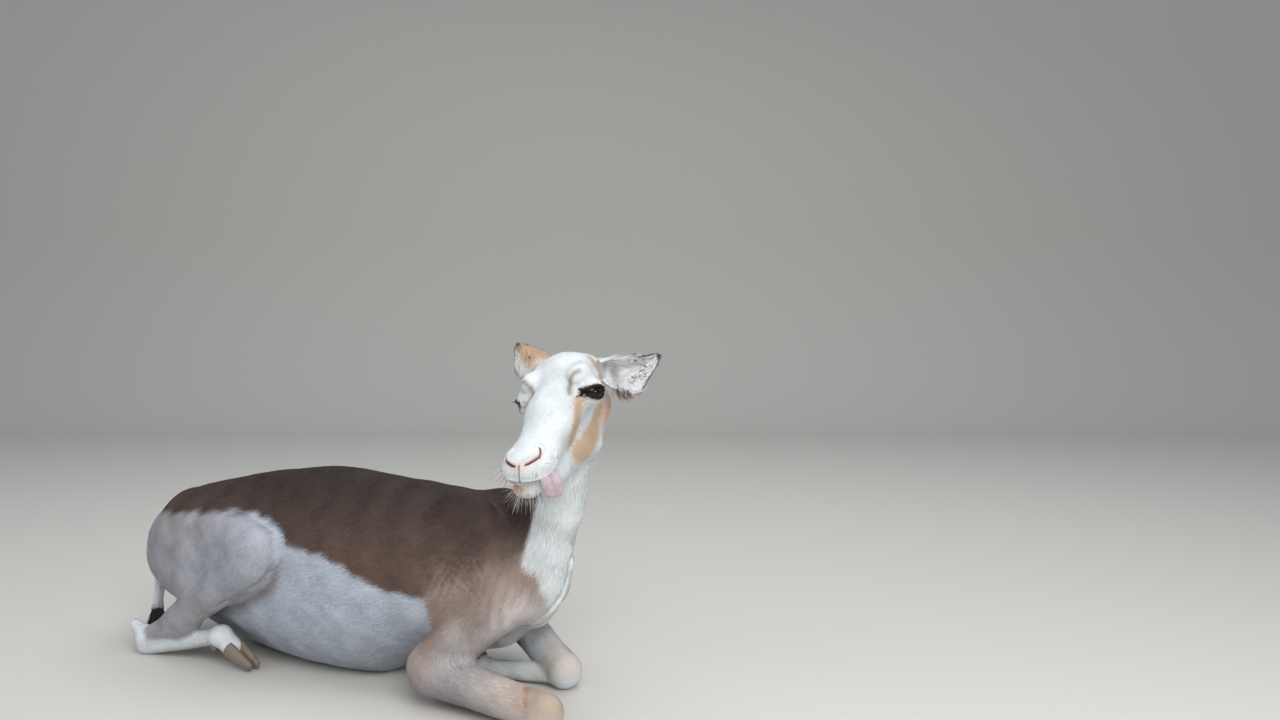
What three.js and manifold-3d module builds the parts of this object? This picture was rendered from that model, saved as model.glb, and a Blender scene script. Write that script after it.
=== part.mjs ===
// A springbok lying on its breast with its legs folded and its head turned to its right, life size.
// Millimetres. +X is forward along the trunk, +Y is the animal's left, +Z is up. The origin is on the floor
// under the belly. The whole body is one field of distances to the skin, turned into facets, and then
// parted into head, neck, torso and legs by thin flat cuts.
import * as THREE from "three";
import Module from "manifold-3d";

const wasm = await Module();
wasm.setup();

// Gap that every two touching pieces keep, and the size of the blocks that cut
const GAP = 0.3;
const FAR = 1400;
const DETAIL = 1.4;

// Trunk: stations along X with the height of the widest line, half width, rise to the back,
// drop to the belly and the squareness of the lower half
const TRUNK = [
  { x: -292, mid: 132, half: 52, rise: 62, drop: 62, square: 1.8 },
  { x: -250, mid: 122, half: 78, rise: 88, drop: 92, square: 1.7 },
  { x: -190, mid: 116, half: 92, rise: 108, drop: 108, square: 1.6 },
  { x: -110, mid: 112, half: 101, rise: 127, drop: 116, square: 1.7 },
  { x: -10, mid: 110, half: 109, rise: 139, drop: 116, square: 2.1 },
  { x: 80, mid: 112, half: 104, rise: 130, drop: 117, square: 2.0 },
  { x: 150, mid: 118, half: 90, rise: 119, drop: 92, square: 1.8 },
  { x: 205, mid: 122, half: 76, rise: 108, drop: 86, square: 1.7 },
  { x: 250, mid: 126, half: 60, rise: 86, drop: 78, square: 1.8 },
  { x: 284, mid: 136, half: 42, rise: 56, drop: 62, square: 2.0 },
];
const RUMP_CAP = 30;
const BREAST_CAP = 34;

// Neck: centre points from the breast up to the skull, with half width and half depth
const NECK = [
  { at: [280, 0, 158], half: 38, deep: 46 },
  { at: [303, 4, 224], half: 33, deep: 41 },
  { at: [323, 12, 296], half: 31, deep: 36 },
  { at: [345, 21, 341], half: 27, deep: 28 },
];

// Head: place of its own origin between the eyes and its three directions, forward, left and up
const HEAD_AT = [344, -48, 344];
const HEAD_YAW = -83;
const HEAD_PITCH = -21.5;
const HEAD_ROLL = 11.5;
const EYE = { at: [-9, 36, 5.5], r: 15, lid: 2.4 };
const EYE_OPENING = { way: [0.42, 0.9, -0.05], along: [0.83, -0.37, 0.41], long: 12.8, high: 7 };
const MOUTH = { corner: [76, -31], front: [126, -27.5], open: 1.4, deep: 4 };
const NOSTRIL = { inner: [117, 6.5, -9], outer: [106, 18, -8], top: [95, 19.5, -3], r: 2.4 };

// Ears in the head's frame, for the left one: root, middle and tip of the back, where the cup faces,
// half width and roll of the cup at stations from root to tip, the share of its width that the upper edge
// keeps, and how far its edges lean to the root
const EAR = {
  left: { root: [-52, 36, 12], middle: [-90, 52, -11], tip: [-138, 74, -15], faces: [0.36, 0.85, 0.1] },
  right: { root: [-54, 30, 18], middle: [-96, 62, 35], tip: [-130, 98, 36], faces: [-0.1, 0.35, -0.93] },
};
const EAR_CUP = [[0, 13, 250], [0.16, 17, 215], [0.36, 21, 175], [0.52, 24.5, 155], [0.61, 24.5, 150],
  [0.71, 17, 145], [0.84, 11.5, 135], [0.95, 7.5, 125], [1, 2.5, 110]];
const EAR_UPPER = { left: 0.8, right: 1 };
const EAR_THICK = 3.2;
const EAR_LEAN = 0.75;

// Tongue in the head's frame, hanging over the left lip
const TONGUE = [[88, 6, -27], [97, 12, -28], [102.8, 16.8, -29], [108.9, 22.2, -31], [112.3, 24.9, -35.5],
  [113.6, 25.3, -42.3], [113.9, 24.9, -48.6], [114, 24.2, -53.6]];
const TONGUE_WIDE = [-0.33, 0.88, -0.27];
const TONGUE_SIZE = [[6, 4], [7, 4], [8, 4], [9.4, 4.2], [10.5, 4.2], [10.4, 3.8], [7.6, 2.8], [2.5, 1]];

// Forelegs: elbow, carpus, fetlock and toe of the right and the left leg
const FORE = {
  right: { side: -1, elbow: [200, -86, 38], carpus: [354, -98, 21], fetlock: [216, -48, 13], toe: [148, -38, 6] },
  left: { side: 1, elbow: [180, 84, 80], carpus: [311, 23, 21], fetlock: [202, 10, 13], toe: [134, 14, 6] },
};
const SHOULDER = { top: [212, 34, 200], point: [268, 46, 118], blade: 40, thick: 18, arm: 30 };

// Hind legs: hip, stifle, hock, fetlock and toe of the right leg, mirrored for the left
const HIND = { hip: [-212, 56, 160], stifle: [-46, 110, 150], hock: [-248, 102, 20], fetlock: [-126, 92, 36],
  toe: [-64, 95, 6] };

// Tail: points from the root to the end of its flesh, lying on the floor
const TAIL = [[-312, 0, 172], [-334, -2, 128], [-341, -6, 74], [-340, -14, 24], [-322, -30, 9]];
const TAIL_R = [13, 10, 8.5, 7, 5];
const TUFT = { locks: 9, long: 44, wide: 5.5, thick: 2, spread: 8 };

// Small vector helpers on plain arrays
const add = (a, b, k = 1) => [a[0] + b[0] * k, a[1] + b[1] * k, a[2] + b[2] * k];
const sub = (a, b) => [a[0] - b[0], a[1] - b[1], a[2] - b[2]];
const minus = (a) => [-a[0], -a[1], -a[2]];
const dot = (a, b) => a[0] * b[0] + a[1] * b[1] + a[2] * b[2];
const cross = (a, b) => [a[1] * b[2] - a[2] * b[1], a[2] * b[0] - a[0] * b[2], a[0] * b[1] - a[1] * b[0]];
const unit = (a) => {
  const n = Math.hypot(...a);
  return [a[0] / n, a[1] / n, a[2] / n];
};
const mix = (a, b, t) => a + (b - a) * t;
const clamp = (x, a, b) => Math.min(Math.max(x, a), b);
const mirror = (p, side) => [p[0], p[1] * side, p[2]];

// Joins two distances with a fillet of size k
function blend(a, b, k) {
  const h = Math.max(k - Math.abs(a - b), 0) / k;
  return Math.min(a, b) - h * h * k * 0.25;
}

// Distance to an oval of half sizes r, for a point already in its own directions
function ovalDistance(qx, qy, qz, rx, ry, rz) {
  const near = Math.hypot(qx / rx, qy / ry, qz / rz);
  const slope = Math.hypot(qx / (rx * rx), qy / (ry * ry), qz / (rz * rz));
  return slope < 1e-9 ? -Math.min(rx, ry, rz) : (near * (near - 1)) / slope;
}

// A tapered bar with oval sections from a to b: wide along side, deep across it, with rounded ends
function bar(a, b, side, wideA, deepA, wideB = wideA, deepB = deepA) {
  const length = Math.hypot(...sub(b, a));
  const along = unit(sub(b, a));
  const wide = unit(add(side, along, -dot(side, along)));
  const deep = cross(along, wide);
  return (p) => {
    const v = sub(p, a);
    const s = dot(v, along);
    const t = clamp(s / length, 0, 1);
    const w = mix(wideA, wideB, t);
    const d = mix(deepA, deepB, t);
    return ovalDistance(dot(v, wide), dot(v, deep), s - t * length, w, d, (w + d) / 2);
  };
}

const ball = (c, r) => (p) => Math.hypot(p[0] - c[0], p[1] - c[1], p[2] - c[2]) - r;
const egg = (c, r) => (p) => ovalDistance(p[0] - c[0], p[1] - c[1], p[2] - c[2], r[0], r[1], r[2]);

// Value of a station table at x, on a smooth curve through the stations
function stationAt(x) {
  let i = 0;
  while (i < TRUNK.length - 2 && TRUNK[i + 1].x < x) i += 1;
  const rows = [Math.max(i - 1, 0), i, i + 1, Math.min(i + 2, TRUNK.length - 1)].map((j) => TRUNK[j]);
  const t = clamp((x - rows[1].x) / (rows[2].x - rows[1].x), 0, 1);
  const out = {};
  for (const key of ["mid", "half", "rise", "drop", "square"]) {
    const [a, b, c, d] = rows.map((r) => r[key]);
    out[key] = b + 0.5 * t * (c - a + t * (2 * a - 5 * b + 4 * c - d + t * (3 * (b - c) + d - a)));
  }
  return out;
}

// Trunk: an oval section that changes along X, squarer below, with rounded ends
const stationCache = new Map();
function trunk(p) {
  const first = TRUNK[0].x;
  const last = TRUNK[TRUNK.length - 1].x;
  const x = clamp(p[0], first, last);
  let s = stationCache.get(x);
  if (!s) {
    s = stationAt(x);
    stationCache.set(x, s);
  }
  const z = p[2] - s.mid;
  const h = z > 0 ? s.rise : s.drop;
  const n = z > 0 ? 2 : s.square;
  const cap = p[0] < first ? RUMP_CAP : BREAST_CAP;
  const over = p[0] - x;
  const across = (Math.abs(p[1]) / s.half) ** n + (Math.abs(z) / h) ** n;
  const near = Math.hypot(across ** (1 / n), over / cap);
  const radius = Math.hypot(p[1], z, over) / Math.max(near, 1e-6);
  return (near - 1) * Math.min(radius, 110);
}

// Head frame
const turn = new THREE.Matrix4().makeRotationFromEuler(new THREE.Euler(
  THREE.MathUtils.degToRad(HEAD_ROLL), THREE.MathUtils.degToRad(-HEAD_PITCH),
  THREE.MathUtils.degToRad(HEAD_YAW), "ZYX"));
const HEAD_AXES = [0, 1, 2].map((i) => turn.elements.slice(4 * i, 4 * i + 3));
const toHead = (p) => {
  const v = sub(p, HEAD_AT);
  return HEAD_AXES.map((a) => dot(v, a));
};
const fromHead = (q) => HEAD_AXES.reduce((p, a, i) => add(p, a, q[i]), HEAD_AT);

// Head: braincase, brow, crown, orbits, bridge of the nose, muzzle, jaw and cheeks, alike on both sides,
// and a chin a little to the right, as in chewing
const skullParts = [
  [egg([-36, 0, 5], [38, 37, 37]), 1],
  [bar([-24, 0, 8], [24, 0, 2], [0, 1, 0], 36, 22, 27, 21), 14],
  [bar([-44, 0, 23], [-44, 24, 19], [1, 0, 0], 18, 17, 19, 17), 12],
  [ball(EYE.at, EYE.r + EYE.lid), 9],
  [bar([14, 0, -8], [92, 0, -17], [0, 1, 0], 29, 23, 25, 18), 14],
  [bar([84, 0, -18], [102, 0, -19], [0, 1, 0], 26, 18, 29, 18), 10],
  [bar([18, 0, -28], [84, 0, -30], [0, 1, 0], 20, 21, 17, 15), 10],
  [bar([-16, 0, -51], [66, 0, -49], [0, 1, 0], 19, 24, 16, 16), 10],
  [bar([60, 0, -46], [94, 0, -40], [0, 1, 0], 17, 17, 16, 12), 10],
  [egg([-12, 12, -33], [36, 11, 33]), 12],
  [ball([-23, 9, -60], 13.5), 12],
  [egg([-14, 29, 26], [17, 13, 11]), 8],
];
const chin = egg([106, -6, -41], [13, 18, 12]);
function head(p) {
  const q = toHead(p);
  const folded = [q[0], Math.abs(q[1]), q[2]];
  return blend(skullParts.reduce((d, [part, k]) => blend(d, part(folded), k), 1e3), chin(q), 6);
}

const neckParts = NECK.slice(1).map((b, i) => {
  const a = NECK[i];
  return bar(a.at, b.at, [0, 1, 0], a.half, a.deep, b.half, b.deep);
});
const neck = (p) => neckParts.reduce((d, part) => blend(d, part(p), 14), 1e3);

// Shoulder blade and upper arm of one side
function upperArm({ side, elbow }) {
  const point = mirror(SHOULDER.point, side);
  const blade = bar(mirror(SHOULDER.top, side), point, [0, 1, 0], SHOULDER.thick, SHOULDER.blade, 24, 34);
  const arm = bar(point, add(elbow, [0, 0, 6]), [0, 1, 0], 26, SHOULDER.arm, 24, 30);
  return (p) => blend(blade(p), arm(p), 24);
}

const forearm = ({ elbow, carpus }) => bar(elbow, carpus, [0, 1, 0], 26, 28, 20, 20);

// Part of the way from the fetlock to the toe that is pastern, where the hooves begin
const PASTERN = 0.36;
const coronet = (fetlock, toe) => fetlock.map((x, i) => mix(x, toe[i], PASTERN));

// Cannon, fetlock and pastern below a knee or hock
function lowerLeg(from, fetlock, toe, thick) {
  const cannon = bar(from, fetlock, [0, 1, 0], thick + 1, thick + 1, thick - 1, thick - 1);
  const joint = ball(fetlock, thick + 2.5);
  const pastern = bar(fetlock, coronet(fetlock, toe), [0, 1, 0], thick + 1, thick, thick + 2.5, thick - 1);
  return (p) => blend(blend(cannon(p), joint(p), 6), pastern(p), 6);
}

// Knee and folded cannon of a foreleg
function foreFoot({ carpus, fetlock, toe }) {
  const knee = ball(carpus, 22);
  const lower = lowerLeg(add(carpus, [2, 0, -5]), fetlock, toe, 11.5);
  return (p) => blend(knee(p), lower(p), 4);
}

const hindJoints = (side) => Object.fromEntries(Object.entries(HIND).map(([k, p]) => [k, mirror(p, side)]));

// Thigh with the ham behind it, on one side
function thigh(side) {
  const { hip, stifle } = hindJoints(side);
  const front = bar(hip, stifle, [0, 1, 0], 40, 56, 25, 38);
  const ham = bar([-262, 48 * side, 128], [-170, 84 * side, 112], [0, 1, 0], 34, 56, 34, 50);
  return (p) => blend(front(p), ham(p), 30);
}

// Shank from the stifle to just above the hock
function shank(side) {
  const { stifle, hock } = hindJoints(side);
  const calf = bar(add(stifle, [-4, 2 * side, -5]), add(hock, [60, 0, 31]), [0, 1, 0], 25, 32, 15, 19);
  const low = bar(add(hock, [70, 0, 36]), add(hock, [8, 0, 4]), [0, 1, 0], 15, 21, 12, 14);
  return (p) => blend(calf(p), low(p), 16);
}

// Hock with its heel, and the cannon that lies forward on the floor
function hindFoot(side) {
  const { hock, fetlock, toe } = hindJoints(side);
  const joint = ball(hock, 15.5);
  const heel = bar(hock, add(hock, [-22, 0, 15]), [0, 1, 0], 12, 13, 8, 8.5);
  const lower = lowerLeg(add(hock, [-2, 0, -10]), fetlock, toe, 12);
  return (p) => blend(blend(joint(p), heel(p), 8), lower(p), 5);
}

const SIDES = { right: -1, left: 1 };
const legs = Object.entries(SIDES).map(([name, side]) => ({ name, side, fore: FORE[name],
  hind: hindJoints(side), upperArm: upperArm(FORE[name]), forearm: forearm(FORE[name]),
  foreFoot: foreFoot(FORE[name]), thigh: thigh(side), shank: shank(side), hindFoot: hindFoot(side) }));

// The whole skin, without ears, eyes, tongue, hooves and tail
function body(p) {
  let d = blend(trunk(p), neck(p), 40);
  for (const leg of legs) {
    d = blend(d, blend(leg.upperArm(p), leg.forearm(p), 14), 20);
    d = blend(d, blend(leg.thigh(p), leg.shank(p), 10), 20);
  }
  d = blend(d, head(p), 12);
  for (const leg of legs) d = blend(blend(d, leg.foreFoot(p), 3), leg.hindFoot(p), 3);
  return d;
}

// Corners, edges and faces of a grid cell, for the mesher
const CORNER = [0, 1, 2, 3, 4, 5, 6, 7].map((c) => [c & 1, (c >> 1) & 1, c >> 2]);
const EDGE = [[0, 1], [2, 3], [4, 5], [6, 7], [0, 2], [1, 3], [4, 6], [5, 7], [0, 4], [1, 5], [2, 6], [3, 7]];
const FACE = [[0, 2, 6, 4], [1, 3, 7, 5], [0, 1, 5, 4], [2, 3, 7, 6], [0, 1, 3, 2], [4, 5, 7, 6]];
const edgeOf = (a, b) => EDGE.findIndex((e) => (e[0] === a && e[1] === b) || (e[0] === b && e[1] === a));

// Groups of crossed edges in a cell, one for each sheet of skin in it, as a group number for each edge
function sheetsOf(inside) {
  const group = EDGE.map((_, i) => i);
  const root = (i) => (group[i] === i ? i : root(group[i]));
  for (const f of FACE) {
    const edges = [0, 1, 2, 3].map((i) => edgeOf(f[i], f[(i + 1) % 4]));
    const cut = edges.filter((_, i) => inside[f[i]] !== inside[f[(i + 1) % 4]]);
    if (cut.length === 2) group[root(cut[0])] = root(cut[1]);
    if (cut.length === 4) {
      const start = inside[f[0]] ? 0 : 1;
      group[root(edges[start])] = root(edges[(start + 3) % 4]);
      group[root(edges[start + 1])] = root(edges[(start + 2) % 4]);
    }
  }
  return EDGE.map((_, i) => root(i));
}
const SHEETS = Array.from({ length: 256 }, (_, code) => sheetsOf(CORNER.map((_, c) => ((code >> c) & 1) === 1)));

// Slope of a field at a point
function slopeOf(field, p, h = 0.5) {
  return [0, 1, 2].map((i) => {
    const a = [...p];
    const b = [...p];
    a[i] += h;
    b[i] -= h;
    return (field(a) - field(b)) / (2 * h);
  });
}

// Facets of a field inside a box: a vertex for each sheet of skin in a cell, moved onto the skin,
// and two triangles across each crossed edge
function facets(field, lo, hi, cell) {
  const count = [0, 1, 2].map((i) => Math.ceil((hi[i] - lo[i]) / cell) + 1);
  const top = [0, 1, 2].map((i) => lo[i] + (count[i] - 1) * cell);
  const clipped = (p) => Math.max(field(p), ...[0, 1, 2].map((i) => Math.max(lo[i] + cell - p[i], p[i] - top[i] + cell)));
  const at = (i, j, k) => i + count[0] * (j + count[1] * k);
  const place = (i, j, k) => [lo[0] + i * cell, lo[1] + j * cell, lo[2] + k * cell];
  const value = new Float64Array(count[0] * count[1] * count[2]);
  for (let k = 0; k < count[2]; k += 1)
    for (let j = 0; j < count[1]; j += 1)
      for (let i = 0; i < count[0]; i += 1) value[at(i, j, k)] = clipped(place(i, j, k)) || 1e-9;
  const points = [];
  const normals = [];
  const vertexOf = new Map();
  const cells = new Map();
  for (let k = 0; k < count[2] - 1; k += 1)
    for (let j = 0; j < count[1] - 1; j += 1)
      for (let i = 0; i < count[0] - 1; i += 1) {
        const v = CORNER.map(([a, b, c]) => value[at(i + a, j + b, k + c)]);
        const code = v.reduce((s, x, c) => s + (x < 0 ? 1 << c : 0), 0);
        if (code === 0 || code === 255) continue;
        cells.set(at(i, j, k), code);
        const sums = new Map();
        EDGE.forEach(([a, b], e) => {
          if (v[a] < 0 === v[b] < 0) return;
          const t = v[a] / (v[a] - v[b]);
          const pa = place(i + CORNER[a][0], j + CORNER[a][1], k + CORNER[a][2]);
          const pb = place(i + CORNER[b][0], j + CORNER[b][1], k + CORNER[b][2]);
          const g = SHEETS[code][e];
          const row = sums.get(g) || { sum: [0, 0, 0], n: 0 };
          row.sum = add(row.sum, pa.map((x, m) => mix(x, pb[m], t)));
          row.n += 1;
          sums.set(g, row);
        });
        for (const [g, { sum, n }] of sums) {
          const p = seat(clipped, sum.map((x) => x / n), cell);
          vertexOf.set(`${at(i, j, k)},${g}`, points.length);
          points.push(p);
          normals.push(unit(slopeOf(clipped, p)));
        }
      }
  const triangles = [];
  const step = [[1, 0, 0], [0, 1, 0], [0, 0, 1]];
  for (let k = 1; k < count[2] - 1; k += 1)
    for (let j = 1; j < count[1] - 1; j += 1)
      for (let i = 1; i < count[0] - 1; i += 1)
        for (let axis = 0; axis < 3; axis += 1) {
          const s = step[axis];
          const here = value[at(i, j, k)];
          const there = value[at(i + s[0], j + s[1], k + s[2])];
          if (here < 0 === there < 0) continue;
          const b = step[(axis + 1) % 3];
          const c = step[(axis + 2) % 3];
          const quad = [[1, 1], [0, 1], [0, 0], [1, 0]].map(([m, n]) => {
            const cellAt = at(i - m * b[0] - n * c[0], j - m * b[1] - n * c[1], k - m * b[2] - n * c[2]);
            const corner = m * (b[0] + 2 * b[1] + 4 * b[2]) + n * (c[0] + 2 * c[1] + 4 * c[2]);
            const edge = edgeOf(corner, corner + s[0] + 2 * s[1] + 4 * s[2]);
            return vertexOf.get(`${cellAt},${SHEETS[cells.get(cellAt)][edge]}`);
          });
          if (here > 0) quad.reverse();
          const [p, q, r, t] = quad.map((n) => points[n]);
          const split = Math.hypot(...sub(p, r)) < Math.hypot(...sub(q, t)) ? [0, 1, 2, 0, 2, 3] : [1, 2, 3, 1, 3, 0];
          triangles.push(...split.map((n) => quad[n]));
        }
  return { points, triangles, normals };
}

// Moves a vertex onto the skin, at most one cell away
function seat(field, start, cell) {
  let p = start;
  for (let n = 0; n < 3; n += 1) {
    const g = slopeOf(field, p);
    const size = Math.max(dot(g, g), 0.05);
    p = add(p, g, -field(p) / size);
  }
  const move = sub(p, start);
  const far = Math.hypot(...move);
  return far > cell * 0.6 ? add(start, move, (cell * 0.6) / far) : p;
}

// The same facets with every vertex moved out by a distance
const grown = (mesh, by) => ({ ...mesh, points: mesh.points.map((p, i) => add(p, mesh.normals[i], by)) });

// A closed mesh as a solid that can be joined and cut, turned right side out
function solid({ points, triangles }) {
  const shape = (order) => new wasm.Manifold(new wasm.Mesh({ numProp: 3,
    vertProperties: new Float32Array(points.flat()), triVerts: new Uint32Array(order) }));
  const made = shape(triangles);
  return made.volume() > 0 ? made : shape([...triangles].reverse());
}

// A three.js geometry as a solid
function solidOf(geometry) {
  const flat = geometry.index ? geometry.toNonIndexed() : geometry;
  const place = flat.attributes.position;
  const seen = new Map();
  const points = [];
  const triangles = [];
  for (let i = 0; i < place.count; i += 1) {
    const p = [place.getX(i), place.getY(i), place.getZ(i)];
    const key = p.map((x) => Math.round(x * 1e4)).join();
    if (!seen.has(key)) {
      seen.set(key, points.length);
      points.push(p);
    }
    triangles.push(seen.get(key));
  }
  const kept = [];
  for (let i = 0; i < triangles.length; i += 3) {
    const [a, b, c] = triangles.slice(i, i + 3);
    if (a !== b && b !== c && a !== c) kept.push(a, b, c);
  }
  return solid({ points, triangles: kept });
}

// Everything on one side of a plane: a block whose face lies on the plane, moved in by inset
function beyond(point, normal, inset = 0) {
  const n = new THREE.Vector3(...unit(normal));
  const box = new THREE.BoxGeometry(FAR, FAR, FAR).translate(0, 0, FAR / 2 + inset);
  box.applyQuaternion(new THREE.Quaternion().setFromUnitVectors(new THREE.Vector3(0, 0, 1), n));
  box.translate(...point);
  return solidOf(box);
}

// Largest closed piece of a solid
function largest(shape) {
  return shape.decompose().reduce((a, b) => (a.volume() > b.volume() ? a : b));
}

const UP = [0, 0, 1];
const floor = beyond([0, 0, 0], UP);

// Room for one piece of the body: what the piece keeps, and what its neighbours lose, a gap larger.
// One kind is a field's own shape swollen by a margin, the other the space beyond one or more planes.
function halfSpaces(planes) {
  const both = [GAP / 2, -GAP / 2].map((inset) => planes.map(([p, n]) => beyond(p, n, inset))
    .reduce((a, b) => a.intersect(b)));
  return { kept: both[0], lost: both[1] };
}
function swollen(field, margin, lo, hi, cell, planes = []) {
  const mesh = facets((p) => field(p) - margin, lo, hi, cell);
  const room = { kept: solid(mesh), lost: solid(grown(mesh, GAP)) };
  if (planes.length === 0) return room;
  const cut = halfSpaces(planes);
  return { kept: room.kept.intersect(cut.kept), lost: room.lost.intersect(cut.lost) };
}

// Points nearer to a piece than to the rest of the body, within reach of the piece
const nearer = (field, rest, reach) => (p) => {
  const own = field(p);
  return Math.max(own - rest(p), own - reach);
};

// A mesh above the floor, kept to a room and cleared of others
function carved(mesh, room, cleared) {
  let shape = solid(mesh).intersect(floor);
  if (room) shape = shape.intersect(room.kept);
  for (const other of cleared) shape = shape.subtract(other.lost);
  return largest(shape);
}
const cutOut = (lo, hi, cell, room, cleared) => carved(facets(body, lo, hi, cell * DETAIL), room, cleared);

// Box round some points, with a margin
const around = (points, r) => [[0, 1, 2].map((i) => Math.min(...points.map((p) => p[i])) - r),
  [0, 1, 2].map((i) => Math.max(...points.map((p) => p[i])) + r)];

const material = (color, roughness = 0.8) => new THREE.MeshStandardMaterial({ color, roughness, metalness: 0 });
const BROWN = material("#6a4d3e");
const WHITE = material("#dedbd8");
const TAN = material("#a8866c");
const HORN = material("#6d625a", 0.5);
const DARK = material("#15110f", 0.1);
const PINK = material("#c9a7ad", 0.45);
const part = new THREE.Group();

// A named mesh from a solid
function piece(name, shape, finish) {
  const mesh = shape.getMesh();
  const geometry = new THREE.BufferGeometry();
  geometry.setAttribute("position", new THREE.BufferAttribute(new Float32Array(mesh.vertProperties), 3));
  geometry.setIndex(Array.from(mesh.triVerts));
  const out = new THREE.Mesh(geometry, finish);
  out.name = name;
  part.add(out);
}

// Two hooves of one foot: tapered wedges side by side that begin at the coronet
function hooves(name, fetlock, toe, thick) {
  const start = coronet(fetlock, toe);
  const way = unit(sub(toe, start));
  const across = unit(cross(way, UP));
  for (const [half, by] of [["inner", -1], ["outer", 1]]) {
    const heel = add(start, across, by * (thick * 0.62 + 0.3));
    const tip = add(add(toe, way, -5), across, by * 5.6);
    const horn = bar(add(heel, way, -2), tip, across, thick * 0.58, thick * 0.86, 4.4, 5.5);
    const shape = solid(facets(horn, ...around([heel, tip], 22), 5.6 * DETAIL)).intersect(floor);
    piece(`${name}_${half}`, largest(shape.intersect(beyond(start, way, GAP / 2))), HORN);
  }
  return { lost: beyond(start, way, -GAP / 2) };
}

// Legs: each piece keeps the room round its own muscles and bones
const rooms = [];
for (const leg of legs) {
  const { name, side, fore, hind } = leg;
  const crease = [add(hind.stifle, [0, 0, 8]), [-0.4, 0, 0.92]];
  const arm = swollen(nearer(leg.forearm, trunk, 12), 0, ...around([fore.elbow, fore.carpus], 56), 14,
    [[add(fore.elbow, [0, 0, 10]), [0.62, 0, -0.78]]]);
  const foot = swollen(leg.foreFoot, 3, ...around([fore.carpus, fore.fetlock, fore.toe], 44), 12);
  const ham = halfSpaces([crease, [[-150, 54 * side, 0], [-0.19, 0.98 * side, 0]],
    [[-150, 58 * side, 200], [0.26, 0.48 * side, -0.84]], [[-6, 0, 150], [-0.9, 0, -0.43]], [[-400, 0, 0], [1, 0, 0]]]);
  const calf = swollen(nearer(leg.shank, trunk, 12), 0, ...around([hind.stifle, hind.hock], 66), 15,
    [[crease[0], minus(crease[1])]]);
  const hindFoot = swollen(leg.hindFoot, 3, ...around([hind.hock, hind.fetlock, hind.toe], 44), 12);
  rooms.push(arm, foot, ham, calf, hindFoot);
  const foreHoof = hooves(`fore_hoof_${name}`, fore.fetlock, fore.toe, 11.5);
  const hindHoof = hooves(`hind_hoof_${name}`, hind.fetlock, hind.toe, 12);
  piece(`forearm_${name}`, cutOut(...around([fore.elbow, fore.carpus], 50), 12, arm, [foot]), TAN);
  piece(`fore_cannon_${name}`, cutOut(...around([fore.carpus, fore.fetlock, fore.toe], 40), 8, foot,
    [foreHoof]), WHITE);
  piece(`thigh_${name}`, cutOut(...around([[-300, 60 * side, 60], [10, 130 * side, 220]], 40), 15, ham,
    [hindFoot]), WHITE);
  piece(`shank_${name}`, cutOut(...around([hind.stifle, hind.hock], 52), 13, calf, [hindFoot]), WHITE);
  piece(`hind_cannon_${name}`, cutOut(...around([hind.hock, hind.fetlock, hind.toe], 40), 8, hindFoot,
    [hindHoof]), WHITE);
}

// The torso's own skin, without the parts of the legs that are cut from it
function torsoSkin(p) {
  let d = blend(trunk(p), neck(p), 40);
  for (const leg of legs) d = blend(blend(d, leg.upperArm(p), 20), leg.thigh(p), 20);
  return d;
}

// Torso and neck, parted by a plane from the dip before the withers to the front of the breast
const headWay = (q) => HEAD_AXES.reduce((p, a, i) => add(p, a, q[i]), [0, 0, 0]);
const neckRoom = halfSpaces([[[268, 0, 212], [0.62, 0, 0.78]]]);
const headRoom = halfSpaces([[fromHead([-66, 0, 38]), headWay([0.97, 0, 0.24])],
  [fromHead([-30, 0, -86]), [0.1, -0.3, 0.95]]]);
const torsoMesh = facets(torsoSkin, [-370, -170, -50], [380, 170, 300], 18 * DETAIL);
const neckMesh = facets(body, [220, -80, 120], [410, 100, 430], 11 * DETAIL);
piece("torso", carved(torsoMesh, null, [neckRoom, ...rooms]), BROWN);
piece("neck", carved(neckMesh, neckRoom, [headRoom, ...rooms]), BROWN);

// Solids that cut the head: eyeballs in their sockets, lid openings, nostrils and the line of the mouth
const HEAD_BOX = [[270, -220, 225], [410, 70, 430]];
const headMatrix = new THREE.Matrix4().makeBasis(...HEAD_AXES.map((a) => new THREE.Vector3(...a)))
  .setPosition(...HEAD_AT);
const inHead = (geometry) => solidOf(geometry.applyMatrix4(headMatrix));
const eyeCentre = (side) => [EYE.at[0], EYE.at[1] * side, EYE.at[2]];
const eyeBall = (side, r) => inHead(new THREE.IcosahedronGeometry(r, 2).translate(...eyeCentre(side)));
function eyeOpening(side) {
  const way = unit(mirror(EYE_OPENING.way, side));
  const high = unit(cross(mirror(EYE_OPENING.along, side), way));
  const hole = new THREE.CylinderGeometry(1, 1, 40, 20).translate(0, 20, 0);
  hole.scale(EYE_OPENING.long, 1, EYE_OPENING.high);
  const axes = [cross(way, high), way, high].map((a) => new THREE.Vector3(...a));
  hole.applyMatrix4(new THREE.Matrix4().makeBasis(...axes));
  return inHead(hole.translate(...eyeCentre(side)));
}
function nostril(side) {
  const [a, b, c] = [NOSTRIL.inner, NOSTRIL.outer, NOSTRIL.top].map((p) => fromHead(mirror(p, side)));
  const slit = bar(a, b, headWay([0, 0, 1]), NOSTRIL.r, NOSTRIL.r * 1.5);
  const hook = bar(b, c, headWay([1, 0, 0]), NOSTRIL.r * 1.5, NOSTRIL.r, NOSTRIL.r * 1.5, NOSTRIL.r);
  return solid(facets((p) => Math.min(slit(p), hook(p)), ...around([a, b, c], 12), 3.2));
}
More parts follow.
